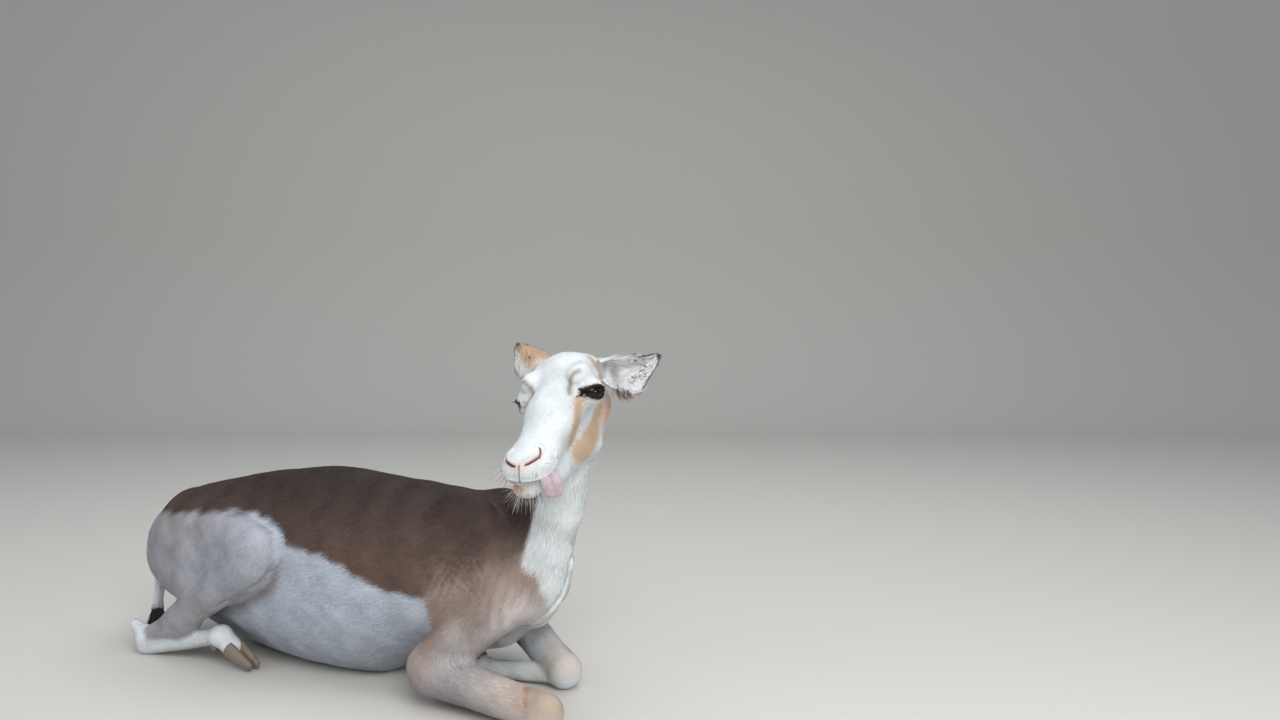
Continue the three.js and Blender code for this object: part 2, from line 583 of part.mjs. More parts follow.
function mouthLine() {
  const [corner, front] = [MOUTH.corner, MOUTH.front];
  const long = Math.hypot(front[0] - corner[0], front[1] - corner[1]);
  const plate = new THREE.BoxGeometry(long + 8, 80, MOUTH.open);
  plate.rotateY(-Math.atan2(front[1] - corner[1], front[0] - corner[0]));
  const core = solid(facets((p) => head(p) + MOUTH.deep, ...HEAD_BOX, 9));
  return inHead(plate.translate((corner[0] + front[0]) / 2, 0, (corner[1] + front[1]) / 2)).subtract(core);
}

// Head
const headMesh = facets(body, ...HEAD_BOX, 7 * DETAIL);
let headShape = solid(headMesh).intersect(headRoom.kept);
for (const side of [-1, 1])
  for (const hole of [eyeBall(side, EYE.r + GAP), eyeOpening(side), nostril(side)])
    headShape = headShape.subtract(hole);
headShape = headShape.subtract(mouthLine());
piece("head", largest(headShape), WHITE);
const headLost = solid(grown(headMesh, GAP));
const neckLost = solid(grown(neckMesh, GAP));

for (const [name, side] of Object.entries(SIDES)) piece(`eye_${name}`, eyeBall(side, EYE.r), DARK);

// A point on a curve through three points
const bend = (a, b, c, t) => a.map((x, i) => x * (1 - t) ** 2 + 2 * t * (1 - t) * (2 * b[i] - (x + c[i]) / 2)
  + c[i] * t ** 2);

// An ear: a cup of even thickness, rolled into a tube at its root and opening towards the tip
function ear(side, shape, upper) {
  const rows = 11;
  const across = 8;
  const flip = (q) => fromHead(mirror(q, side));
  const way = unit(sub(shape.tip, shape.root));
  const faces = unit(add(shape.faces, way, -dot(shape.faces, way)));
  const wide = cross(way, faces);
  const layers = [1, -1].map((layer) => Array.from({ length: rows + 1 }, (_, i) => {
    const t = i / rows;
    const n = EAR_CUP.findIndex((row, k) => k > 0 && row[0] >= t);
    const [low, high] = [EAR_CUP[n - 1], EAR_CUP[n]];
    const s = (t - low[0]) / (high[0] - low[0]);
    const roll = THREE.MathUtils.degToRad(mix(low[2], high[2], s)) / 2;
    const r = mix(low[1], high[1], s) / Math.sin(Math.min(roll, Math.PI / 2));
    const middle = bend(shape.root, shape.middle, shape.tip, t);
    return Array.from({ length: across + 1 }, (_, j) => {
      const turnBy = mix(-roll, roll, j / across);
      const thin = (EAR_THICK / 2) * (1 - 0.5 * t) * layer;
      const kept = turnBy < 0 ? mix(1, upper, clamp((t - 0.2) / 0.3, 0, 1)) : 1;
      const out = add(wide.map((x) => x * Math.sin(turnBy) * kept), faces, -Math.cos(turnBy));
      const centre = add(add(middle, faces, r), way, -EAR_LEAN * r * (1 - Math.cos(turnBy)));
      return flip(add(centre, out, r + thin));
    });
  }));
  const points = layers.flat(2);
  const id = (layer, i, j) => (layer * (rows + 1) + i) * (across + 1) + j;
  const triangles = [];
  const quad = (a, b, c, d) => triangles.push(a, b, c, a, c, d);
  for (let i = 0; i < rows; i += 1)
    for (let j = 0; j < across; j += 1) {
      quad(id(0, i, j), id(0, i, j + 1), id(0, i + 1, j + 1), id(0, i + 1, j));
      quad(id(1, i, j), id(1, i + 1, j), id(1, i + 1, j + 1), id(1, i, j + 1));
    }
  for (let i = 0; i < rows; i += 1) {
    quad(id(0, i, 0), id(0, i + 1, 0), id(1, i + 1, 0), id(1, i, 0));
    quad(id(0, i + 1, across), id(0, i, across), id(1, i, across), id(1, i + 1, across));
  }
  for (let j = 0; j < across; j += 1) {
    quad(id(0, 0, j + 1), id(0, 0, j), id(1, 0, j), id(1, 0, j + 1));
    quad(id(0, rows, j), id(0, rows, j + 1), id(1, rows, j + 1), id(1, rows, j));
  }
  return solid({ points, triangles });
}
for (const [name, side] of Object.entries(SIDES))
  piece(`ear_${name}`, largest(ear(side, EAR[name], EAR_UPPER[name]).subtract(headLost).subtract(neckLost)), TAN);

// A closed sweep of oval rings along a row of points: half sizes of each ring, and the way its wide side lies
function sweep(path, sizes, wideWay, sides) {
  const points = [];
  const triangles = [];
  path.forEach((c, i) => {
    const along = unit(sub(path[Math.min(i + 1, path.length - 1)], path[Math.max(i - 1, 0)]));
    const wide = unit(add(wideWay, along, -dot(wideWay, along)));
    const deep = cross(along, wide);
    for (let k = 0; k < sides; k += 1) {
      const a = (2 * Math.PI * k) / sides;
      points.push(add(add(c, wide, sizes[i][0] * Math.cos(a)), deep, sizes[i][1] * Math.sin(a)));
    }
  });
  for (let i = 0; i + 1 < path.length; i += 1)
    for (let k = 0; k < sides; k += 1) {
      const [a, b] = [i * sides + k, i * sides + ((k + 1) % sides)];
      triangles.push(a, b, b + sides, a, b + sides, a + sides);
    }
  for (const end of [0, path.length - 1]) {
    points.push(path[end]);
    for (let k = 0; k < sides; k += 1) {
      const edge = [end * sides + k, end * sides + ((k + 1) % sides)];
      if (end === 0) edge.reverse();
      triangles.push(...edge, points.length - 1);
    }
  }
  return solid({ points, triangles });
}

// Tongue, from the lips outward
const tongue = sweep(TONGUE.map(fromHead), TONGUE_SIZE, headWay(TONGUE_WIDE), 14);
piece("tongue", largest(tongue.subtract(headLost)), PINK);

// Tail: a tapering dock down the rump, with a tuft of flat, tapered locks at its end
const tailBars = TAIL.slice(1).map((b, i) => bar(TAIL[i], b, [0, 1, 0], TAIL_R[i], TAIL_R[i], TAIL_R[i + 1],
  TAIL_R[i + 1]));
const tail = (p) => tailBars.reduce((d, one) => blend(d, one(p), 5), 1e3);

// One lock: a flat, tapered strand with four sides, bent along a curve from its root to its tip
function lock(root, middle, tip, face, wide, thick) {
  const stations = [0, 0.4, 0.75];
  const points = [];
  const triangles = [];
  stations.forEach((t, i) => {
    const p = bend(root, middle, tip, t);
    const ahead = unit(sub(bend(root, middle, tip, t + 0.1), p));
    const across = unit(cross(ahead, face));
    const out = cross(across, ahead);
    const w = wide * (1 - t * t);
    const h = thick * (1 - 0.6 * t);
    points.push(add(p, across, w), add(p, out, h), add(p, across, -w), add(p, out, -h));
    if (i > 0)
      for (let k = 0; k < 4; k += 1) {
        const [a, b] = [4 * i - 4 + k, 4 * i - 4 + ((k + 1) % 4)];
        triangles.push(a, b, b + 4, a, b + 4, a + 4);
      }
  });
  const last = 4 * (stations.length - 1);
  points.push(tip);
  for (let k = 0; k < 4; k += 1) triangles.push(last + k, last + ((k + 1) % 4), last + 4);
  triangles.push(0, 2, 1, 0, 3, 2);
  return solid({ points, triangles });
}

// Seeded random numbers between -1 and 1
let seed = 7;
function chance() {
  seed = (seed * 16807) % 2147483647;
  return (seed / 2147483647) * 2 - 1;
}

// Locks of the tuft, spread round the last stretch of the dock and swept towards its end
function tuftLock(n) {
  const t = n / TUFT.locks;
  const [a, b] = [TAIL[TAIL.length - 2], TAIL[TAIL.length - 1]];
  const from = a.map((x, i) => mix(x, b[i], mix(0.1, 0.95, t)));
  const way = unit(sub(b, a));
  const turnBy = n * 2.4;
  const side = unit(cross(way, UP));
  const face = add(side.map((x) => x * Math.cos(turnBy)), cross(side, way), Math.sin(turnBy));
  const long = TUFT.long * (1 + 0.15 * chance());
  const tip = add(add(from, way, long), face, TUFT.spread * (1 + 0.4 * chance()));
  const middle = add(add(from, way, long * 0.5), face, TUFT.spread * 1.2);
  return lock(add(from, face, 1), middle, tip, face, TUFT.wide, TUFT.thick);
}

const torsoLost = solid(grown(torsoMesh, GAP));
let tailShape = solid(facets(tail, ...around(TAIL, 22), 9 * DETAIL));
for (let n = 0; n < TUFT.locks; n += 1) tailShape = tailShape.add(tuftLock(n));
piece("tail", largest(tailShape.intersect(floor).subtract(torsoLost)), WHITE);

export default part;
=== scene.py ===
import math

import bpy
import numpy as np
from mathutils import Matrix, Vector
from mathutils.bvhtree import BVHTree


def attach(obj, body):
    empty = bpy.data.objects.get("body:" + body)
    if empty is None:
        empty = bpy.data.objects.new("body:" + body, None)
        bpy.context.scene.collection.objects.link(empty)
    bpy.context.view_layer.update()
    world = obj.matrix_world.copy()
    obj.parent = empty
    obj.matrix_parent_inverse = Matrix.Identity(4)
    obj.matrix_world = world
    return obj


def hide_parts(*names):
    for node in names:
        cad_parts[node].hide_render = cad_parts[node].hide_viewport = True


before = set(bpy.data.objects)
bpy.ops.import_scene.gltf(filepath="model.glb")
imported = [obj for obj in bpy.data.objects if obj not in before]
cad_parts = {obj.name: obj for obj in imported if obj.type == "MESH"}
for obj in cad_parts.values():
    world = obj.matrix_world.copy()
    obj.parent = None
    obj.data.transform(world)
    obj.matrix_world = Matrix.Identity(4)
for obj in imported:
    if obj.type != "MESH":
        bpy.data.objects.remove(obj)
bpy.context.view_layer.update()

# Camera and studio. The camera stands at the animal's right front, a little above its head, and looks
# two degrees down. The floor is plain pale card that curves up behind, under three soft white boxes of light.
CAMERA_AT = (0.870, -0.964, 0.430)
CAMERA_TURN, CAMERA_DOWN, CAMERA_LENS = 25.0, 2.0, 27.03


def colour(text):
    """A colour written as sRGB hex, in linear light."""
    parts = [int(text[i:i + 2], 16) / 255 for i in (1, 3, 5)]
    return [c / 12.92 if c <= 0.04045 else ((c + 0.055) / 1.055) ** 2.4 for c in parts]


def node(tree, kind, inputs=None, **settings):
    """Adds a node with its settings, and sets or links its inputs."""
    made = tree.nodes.new(kind)
    for name, value in settings.items():
        setattr(made, name, value)
    for name, value in (inputs or {}).items():
        socket = made.inputs[name]
        if isinstance(value, bpy.types.NodeSocket):
            tree.links.new(value, socket)
        else:
            socket.default_value = value
    return made


def material(name):
    """A new material with a plain surface shader, and its node tree."""
    made = bpy.data.materials.new(name)
    made.use_nodes = True
    tree = made.node_tree
    return made, tree, tree.nodes["Principled BSDF"]


def set_sockets(shader, **values):
    for name, value in values.items():
        shader.inputs[name.replace("_", " ")].default_value = value


def per_metre(size):
    """A pattern's scale, from the size of one of its marks in millimetres."""
    return 1000 / size


def mesh_object(name, points, faces, smooth=True):
    """A mesh object from points in millimetres and faces of three or four corners each."""
    points = np.asarray(points, float) / 1000
    faces = np.asarray(faces, np.int32)
    mesh = bpy.data.meshes.new(name)
    mesh.vertices.add(len(points))
    mesh.vertices.foreach_set("co", points.astype(np.float32).ravel())
    mesh.loops.add(faces.size)
    mesh.loops.foreach_set("vertex_index", faces.ravel())
    mesh.polygons.add(len(faces))
    mesh.polygons.foreach_set("loop_start", np.arange(0, faces.size, faces.shape[1], dtype=np.int32))
    mesh.polygons.foreach_set("use_smooth", np.full(len(faces), smooth))
    mesh.update(calc_edges=True)
    piece = bpy.data.objects.new(name, mesh)
    bpy.context.scene.collection.objects.link(piece)
    return piece


camera = bpy.data.objects.new("camera", bpy.data.cameras.new("camera"))
camera.location = CAMERA_AT
camera.rotation_euler = (math.radians(90 - CAMERA_DOWN), 0, math.radians(CAMERA_TURN))
camera.data.lens = CAMERA_LENS
camera.data.sensor_width = 36
camera.data.clip_start = 0.02
bpy.context.scene.collection.objects.link(camera)
bpy.context.scene.camera = camera
bpy.context.scene.view_settings.view_transform = "Standard"

FLOOR_FRONT, FLOOR_BACK, FLOOR_BEND, FLOOR_HIGH, FLOOR_HALF = -3000, 2600, 900, 2600, 5000
arc = [(0, 0)] + [(FLOOR_BEND * math.sin(a), FLOOR_BEND * (1 - math.cos(a)))
                  for a in np.linspace(0, math.pi / 2, 17)] + [(FLOOR_BEND, FLOOR_HIGH)]
ahead = np.array([-math.sin(math.radians(CAMERA_TURN)), math.cos(math.radians(CAMERA_TURN))])
across = np.array([ahead[1], -ahead[0]])
rows = [(FLOOR_FRONT, 0)] + [(FLOOR_BACK + run, rise) for run, rise in arc]
floor_points = [[*(ahead * run + across * FLOOR_HALF * side), rise] for run, rise in rows for side in (-1, 1)]
floor_faces = [[2 * i, 2 * i + 1, 2 * i + 3, 2 * i + 2] for i in range(len(rows) - 1)]
floor = mesh_object("floor", floor_points, floor_faces)
# Matt uncoated card: an even, pale, shineless ground, with faint clouds about 33 mm across.
card, tree, shader = material("pale_card")
set_sockets(shader, Roughness=0.9, Specular_IOR_Level=0.2)
speck = node(tree, "ShaderNodeTexNoise", {"Scale": per_metre(33.33), "Detail": 4.0})
tone = node(tree, "ShaderNodeMapRange", {"Value": speck.outputs["Fac"], "To Min": 0.97, "To Max": 1.0})
pale = node(tree, "ShaderNodeMix", {"Factor": tone.outputs["Result"], "A": [0.5, 0.5, 0.5, 1],
                                    "B": [*colour("#cfcbc5"), 1]}, data_type="RGBA")
tree.links.new(pale.outputs["Result"], shader.inputs["Base Color"])
floor.data.materials.append(card)


def soft_box(name, at, towards, size, watts, tint):
    """A square panel of soft light that faces a point."""
    light = bpy.data.objects.new(name, bpy.data.lights.new(name, "AREA"))
    light.location = at
    light.rotation_euler = (Vector(towards) - Vector(at)).to_track_quat("-Z", "Y").to_euler()
    light.data.size = size
    light.data.energy = watts
    light.data.color = tint
    bpy.context.scene.collection.objects.link(light)


soft_box("key_light", (1.35, -1.2, 1.4), (0.3, 0, 0.3), 1.2, 26, (1.0, 0.99, 0.98))
soft_box("fill_light", (-1.3, -2.0, 1.3), (0.0, 0, 0.2), 2.0, 12, (0.93, 0.97, 1.0))
soft_box("top_light", (0.2, 0.5, 2.6), (0.1, 0, 0.1), 2.4, 32, (0.96, 0.98, 1.0))
soft_box("eye_light", (1.65, -0.37, 0.47), (0.39, -0.05, 0.36), 0.15, 3.0, (1.0, 1.0, 1.0))
world = bpy.data.worlds.new("studio")
world.use_nodes = True
world.node_tree.nodes["Background"].inputs["Color"].default_value = [0.86, 0.93, 1.0, 1]
world.node_tree.nodes["Background"].inputs["Strength"].default_value = 0.42
bpy.context.scene.world = world

# Skin: one closed surface over trunk, neck, head, ears, legs and tail, as living hide is. It is a field of
# distances in millimetres from the same named sizes as the solids, a coat's depth inside them, turned into
# facets. A row of the trunk is x, height of the widest line, half width, rise, drop and squareness.
TRUNK = np.array([
    [-292, 132, 52, 62, 62, 1.8], [-250, 122, 78, 88, 92, 1.7], [-190, 116, 92, 108, 108, 1.6],
    [-110, 112, 101, 127, 116, 1.7], [-10, 110, 109, 139, 116, 2.1], [80, 112, 104, 130, 117, 2.0],
    [150, 118, 90, 119, 92, 1.8], [205, 122, 76, 108, 86, 1.7], [250, 126, 60, 86, 78, 1.8],
    [284, 136, 42, 56, 62, 2.0]])
RUMP_CAP, BREAST_CAP = 30, 34
NECK = [([280, 0, 158], 38, 46), ([303, 4, 224], 33, 41), ([323, 12, 296], 31, 36), ([345, 21, 341], 27, 28)]
HEAD_AT = np.array([344.0, -48, 344])
HEAD_YAW, HEAD_PITCH, HEAD_ROLL = -83, -21.5, 11.5
EYE_AT, EYE_R, LID = np.array([-9, 36, 5.5]), 15, 2.4
FORE = {"right": (-1, [200, -86, 38], [354, -98, 21], [216, -48, 13], [148, -38, 6]),
        "left": (1, [180, 84, 80], [311, 23, 21], [202, 10, 13], [134, 14, 6])}
SHOULDER_TOP, SHOULDER_POINT, BLADE, BLADE_THICK, ARM = [212, 34, 200], [268, 46, 118], 40, 18, 30
HIP, STIFLE, HOCK = [-212, 56, 160], [-46, 110, 150], [-248, 102, 20]
HIND_FETLOCK, HIND_TOE = [-126, 92, 36], [-64, 95, 6]
TAIL = [[-312, 0, 172], [-334, -2, 128], [-341, -6, 74], [-340, -14, 24], [-322, -30, 9]]
TAIL_R = [13, 10, 8.5, 7, 5]
PASTERN = 0.36
COAT_BODY, COAT_HEAD, COAT_TAIL = 1.9, 0.8, 1.2
NECK_FILLET, ARM_FILLET, LEG_FILLET, SHANK_FILLET, HEAD_FILLET = 40, 14, 20, 8, 12
FOOT_FILLET, TAIL_FILLET, EAR_FILLET = 3, 8, 5
FAR_OFF = 300.0


def unit(v):
    v = np.asarray(v, float)
    return v / np.linalg.norm(v, axis=-1, keepdims=True)


def lerp(a, b, t):
    return a + (b - a) * t


def smooth_step(a, b, x):
    t = np.clip((x - a) / (b - a), 0, 1)
    return t * t * (3 - 2 * t)


def blend(a, b, k):
    """Joins two distances with a fillet of size k."""
    h = np.maximum(k - np.abs(a - b), 0) / k
    return np.minimum(a, b) - h * h * k * 0.25


def oval(x, y, z, rx, ry, rz):
    """Distance to an oval of half sizes rx, ry and rz."""
    near = np.sqrt((x / rx) ** 2 + (y / ry) ** 2 + (z / rz) ** 2)
    slope = np.sqrt((x / rx ** 2) ** 2 + (y / ry ** 2) ** 2 + (z / rz ** 2) ** 2)
    return near * (near - 1) / np.maximum(slope, 1e-9)


def only_near(shape, points, reach):
    """The same field, worked out only within reach of some points and taken as far off elsewhere."""
    low, high = np.min(points, 0) - reach, np.max(points, 0) + reach

    def field(p):
        out = np.full(len(p), FAR_OFF)
        near = np.all((p > low) & (p < high), axis=1)
        if near.any():
            out[near] = shape(p[near])
        return out
    return field


def bar(a, b, side, wide_a, deep_a, wide_b=None, deep_b=None):
    """A tapered bar with oval sections and rounded ends."""
    a, b = np.array(a, float), np.array(b, float)
    wide_b, deep_b = wide_b or wide_a, deep_b or deep_a
    length = np.linalg.norm(b - a)
    along = unit(b - a)
    wide = unit(np.array(side, float) - np.dot(side, along) * along)
    deep = np.cross(along, wide)

    def field(p):
        v = p - a
        s = v @ along
        t = np.clip(s / length, 0, 1)
        w, d = lerp(wide_a, wide_b, t), lerp(deep_a, deep_b, t)
        return oval(v @ wide, v @ deep, s - t * length, w, d, (w + d) / 2)
    return field


def blended(parts, k):
    """The fields of several parts joined in turn."""
    def field(p):
        d = np.full(len(p), FAR_OFF)
        for part in parts:
            d = blend(d, part(p), k)
        return d
    return field


def ball(c, r):
    return lambda p: np.linalg.norm(p - np.array(c, float), axis=1) - r


def egg(c, r):
    return lambda p: oval(p[:, 0] - c[0], p[:, 1] - c[1], p[:, 2] - c[2], *r)


def through(table, x):
    """Rows of a table of stations at x, on a smooth curve through them."""
    xs = table[:, 0]
    i = np.clip(np.searchsorted(xs, x, side="left") - 1, 0, len(xs) - 2)
    rows = [table[np.clip(i + k, 0, len(xs) - 1)] for k in (-1, 0, 1, 2)]
    t = np.clip((x - rows[1][:, 0]) / (rows[2][:, 0] - rows[1][:, 0]), 0, 1)[:, None]
    a, b, c, d = rows
    return b + 0.5 * t * (c - a + t * (2 * a - 5 * b + 4 * c - d + t * (3 * (b - c) + d - a)))


def trunk(p):
    first, last = TRUNK[0, 0], TRUNK[-1, 0]
    x = np.clip(p[:, 0], first, last)
    _, mid, half, rise, drop, square = through(TRUNK, x).T
    z = p[:, 2] - mid
    high = np.where(z > 0, rise, drop)
    n = np.where(z > 0, 2.0, square)
    cap = np.where(p[:, 0] < first, RUMP_CAP, BREAST_CAP)
    across = (np.abs(p[:, 1]) / half) ** n + (np.abs(z) / high) ** n
    over = p[:, 0] - x
    near = np.sqrt(across ** (2 / n) + (over / cap) ** 2)
    radius = np.sqrt(p[:, 1] ** 2 + z ** 2 + over ** 2) / np.maximum(near, 1e-6)
    return (near - 1) * np.minimum(radius, 110)


def turned(degrees, axis):
    c, s = math.cos(math.radians(degrees)), math.sin(math.radians(degrees))
    i, j = [(1, 2), (2, 0), (0, 1)][axis]
    m = np.eye(3)
    m[i, i], m[i, j], m[j, i], m[j, j] = c, -s, s, c
    return m


HEAD_AXES = (turned(HEAD_YAW, 2) @ turned(-HEAD_PITCH, 1) @ turned(HEAD_ROLL, 0)).T


def to_head(p):
    return (p - HEAD_AT) @ HEAD_AXES.T


def from_head(q):
    return np.asarray(q, float) @ HEAD_AXES + HEAD_AT


def both_as_left(q):
    """Points folded over the middle, so that places on either side are read as on the left."""
    return q * [1, 0, 1] + np.abs(q) * [0, 1, 0]


SKULL = [
    (egg([-36, 0, 5], [38, 37, 37]), 1),
    (bar([-24, 0, 8], [24, 0, 2], [0, 1, 0], 36, 22, 27, 21), 14),
    (bar([-44, 0, 23], [-44, 24, 19], [1, 0, 0], 18, 17, 19, 17), 12),
    (ball(EYE_AT, EYE_R + LID), 9),
    (bar([14, 0, -8], [92, 0, -17], [0, 1, 0], 29, 23, 25, 18), 14),
    (bar([84, 0, -18], [102, 0, -19], [0, 1, 0], 26, 18, 29, 18), 10),
    (bar([18, 0, -28], [84, 0, -30], [0, 1, 0], 20, 21, 17, 15), 10),
    (bar([-16, 0, -51], [66, 0, -49], [0, 1, 0], 19, 24, 16, 16), 10),
    (bar([60, 0, -46], [94, 0, -40], [0, 1, 0], 17, 17, 16, 12), 10),
    (egg([-12, 12, -33], [36, 11, 33]), 12),
    (ball([-23, 9, -60], 13.5), 12),
    (egg([-14, 29, 26], [17, 13, 11]), 8)]
chin = egg([106, -6, -41], [13, 18, 12])


def skull(p):
    q = to_head(p)
    folded = both_as_left(q)
    d = np.full(len(p), FAR_OFF)
    for part, k in SKULL:
        d = blend(d, part(folded), k)
    return blend(d, chin(q), 6)


head = only_near(skull, [from_head([-75, -40, -60]), from_head([130, 40, 40]), from_head([-60, 40, -70]),
                         from_head([120, -30, -60]), from_head([-40, 0, 45])], 45)
neck_bars = [bar(a[0], b[0], [0, 1, 0], a[1], a[2], b[1], b[2]) for a, b in zip(NECK, NECK[1:])]
neck = only_near(blended(neck_bars, 14), [n[0] for n in NECK], 110)


def mirrored(p, side):
    return [p[0], p[1] * side, p[2]]


def moved(p, by):
    return [a + b for a, b in zip(p, by)]


def hind_joints(side):
    return [mirrored(p, side) for p in (HIP, STIFLE, HOCK, HIND_FETLOCK, HIND_TOE)]


def lower_leg(start, fetlock, toe, thick):
    """Cannon, fetlock and pastern below a knee or hock."""
    coronet = lerp(np.array(fetlock, float), np.array(toe, float), PASTERN)
    cannon = bar(start, fetlock, [0, 1, 0], thick + 1, thick + 1, thick - 1, thick - 1)
    joint = ball(fetlock, thick + 2.5)
    pastern = bar(fetlock, coronet, [0, 1, 0], thick + 1, thick, thick + 2.5, thick - 1)
    return lambda p: blend(blend(cannon(p), joint(p), 6), pastern(p), 6)


def leg_fields(name):
    """The fields of one side's legs: upper arm with forearm, fore foot, thigh with shank, hind foot."""
    side, elbow, carpus, fetlock, toe = FORE[name]
    hip, stifle, hock, hind_fetlock, hind_toe = hind_joints(side)
    point = mirrored(SHOULDER_POINT, side)
    blade = bar(mirrored(SHOULDER_TOP, side), point, [0, 1, 0], BLADE_THICK, BLADE, 24, 34)
    arm = bar(point, moved(elbow, [0, 0, 6]), [0, 1, 0], 26, ARM, 24, 30)
    forearm = bar(elbow, carpus, [0, 1, 0], 26, 28, 20, 20)
    knee = ball(carpus, 22)
    fore_low = lower_leg(moved(carpus, [2, 0, -5]), fetlock, toe, 11.5)
    front = bar(hip, stifle, [0, 1, 0], 40, 56, 25, 38)
    ham = bar([-262, 48 * side, 128], [-170, 84 * side, 112], [0, 1, 0], 34, 56, 34, 50)
    calf = bar(moved(stifle, [-4, 2 * side, -5]), moved(hock, [60, 0, 31]), [0, 1, 0], 25, 32, 15, 19)
    low = bar(moved(hock, [70, 0, 36]), moved(hock, [8, 0, 4]), [0, 1, 0], 15, 21, 12, 14)
    hock_ball = ball(hock, 15.5)
    heel = bar(hock, moved(hock, [-22, 0, 15]), [0, 1, 0], 12, 13, 8, 8.5)
    hind_low = lower_leg(moved(hock, [-2, 0, -10]), hind_fetlock, hind_toe, 12)
    upper = [mirrored(SHOULDER_TOP, side), point, elbow]
    return {
        "upper_arm": only_near(lambda p: blend(blade(p), arm(p), 24), upper, 90),
        "forearm": only_near(forearm, [elbow, carpus], 70),
        "fore_foot": only_near(lambda p: blend(knee(p), fore_low(p), 4), [carpus, fetlock, toe], 50),
        "thigh": only_near(lambda p: blend(front(p), ham(p), 30), [hip, stifle, [-262, 48 * side, 128]], 110),
        "shank": only_near(lambda p: blend(calf(p), low(p), 16), [stifle, hock], 80),
        "hind_foot": only_near(lambda p: blend(blend(hock_ball(p), heel(p), 8), hind_low(p), 5),
                               [hock, hind_fetlock, hind_toe], 50)}


legs = {name: leg_fields(name) for name in FORE}
tail_bars = [bar(a, b, [0, 1, 0], ra, ra, rb, rb) for a, b, ra, rb in zip(TAIL, TAIL[1:], TAIL_R, TAIL_R[1:])]
tail = only_near(blended(tail_bars, 10), TAIL, 40)

# Ears: a sheet of gristle rolled into a tube at its root and open towards the tip, 2 to 3 mm thick with its
# skin. The sheet is worked out first, and joins the skin's field by the distance to it.
EARS = {"left": (1, [-52, 36, 12], [-90, 52, -11], [-138, 74, -15], [0.36, 0.85, 0.1], 0.8),
        "right": (-1, [-54, 30, 18], [-96, 62, 35], [-130, 98, 36], [-0.1, 0.35, -0.93], 1.0)}
EAR_CUP = np.array([[0, 13, 250], [0.16, 17, 215], [0.36, 21, 175], [0.52, 24.5, 155], [0.61, 24.5, 150],
                    [0.71, 17, 145], [0.84, 11.5, 135], [0.95, 7.5, 125], [1, 2.5, 110]])
EAR_THICK, EAR_LEAN = 3.0, 0.75
EAR_ROWS, EAR_COLUMNS = 44, 30
EAR_SIDE = {"left": -1, "right": 1}


def ear_sheet(name):
    """Points of an ear's middle sheet, in rows from the root to the tip."""
    side, root, middle, tip, faces, upper = EARS[name]
    root, middle, tip = (np.array(p, float) for p in (root, middle, tip))
    way = unit(tip - root)
    faces = unit(np.array(faces) - np.dot(faces, way) * way)
    wide = np.cross(way, faces)
    rows = []
    for t in np.linspace(0, 1, EAR_ROWS + 1):
        half = np.interp(t, EAR_CUP[:, 0], EAR_CUP[:, 1])
        roll = math.radians(np.interp(t, EAR_CUP[:, 0], EAR_CUP[:, 2])) / 2
        r = half / math.sin(min(roll, math.pi / 2))
        centre = (root * (1 - t) ** 2 + 2 * t * (1 - t) * (2 * middle - (root + tip) / 2) + tip * t ** 2)
        a = np.linspace(-roll, roll, EAR_COLUMNS + 1)[:, None]
        kept = np.where(a < 0, lerp(1, upper, np.clip((t - 0.2) / 0.3, 0, 1)), 1)
        out = np.sin(a) * kept * wide - np.cos(a) * faces
        rows.append(centre + faces * r - EAR_LEAN * r * (1 - np.cos(a)) * way + out * r)
    sheet = np.array(rows) * [1, side, 1]
    return from_head(sheet.reshape(-1, 3)).reshape(sheet.shape)


def grid_faces(rows, columns):
    i, j = np.meshgrid(np.arange(rows), np.arange(columns), indexing="ij")
    a = (i * (columns + 1) + j).ravel()
    return np.stack([a, a + 1, a + columns + 2, a + columns + 1], 1)


def ear_tree(sheet):
    faces = grid_faces(EAR_ROWS, EAR_COLUMNS)
    return BVHTree.FromPolygons(sheet.reshape(-1, 3).tolist(), faces.tolist())


def ear_field(name):
    sheet = ear_sheet(name)
    tree = ear_tree(sheet)

    def field(p):
        out = np.empty(len(p))
        for n, point in enumerate(p.tolist()):
            _, _, face, distance = tree.find_nearest(point)
            out[n] = distance - EAR_THICK / 2 * (1 - 0.3 * (face // EAR_COLUMNS) / EAR_ROWS)
        return out
    return only_near(field, sheet.reshape(-1, 3), 12), sheet


ears = {name: ear_field(name) for name in EARS}


def skin_field(p):
    """Distance to the skin: the body's own field, a coat's depth further in."""
    head_d = head(p)
    d = blend(trunk(p), neck(p), NECK_FILLET)
    for leg in legs.values():
        d = blend(d, blend(leg["upper_arm"](p), leg["forearm"](p), ARM_FILLET), LEG_FILLET)
        d = blend(blend(d, leg["thigh"](p), LEG_FILLET), leg["shank"](p), SHANK_FILLET)
    d = blend(d, head_d, HEAD_FILLET)
    feet = np.full(len(p), FAR_OFF)
    for leg in legs.values():
        feet = np.minimum(feet, np.minimum(leg["fore_foot"](p), leg["hind_foot"](p)))
        d = blend(blend(d, leg["fore_foot"](p), FOOT_FILLET), leg["hind_foot"](p), FOOT_FILLET)
    d = d + lerp(COAT_HEAD, COAT_BODY, smooth_step(1, 20, np.minimum(head_d, feet)))
    d = blend(d, tail(p) + COAT_TAIL, TAIL_FILLET)
    for field, _ in ears.values():
        d = blend(d, field(p), EAR_FILLET)
    return np.maximum(d, 0.5 - p[:, 2])


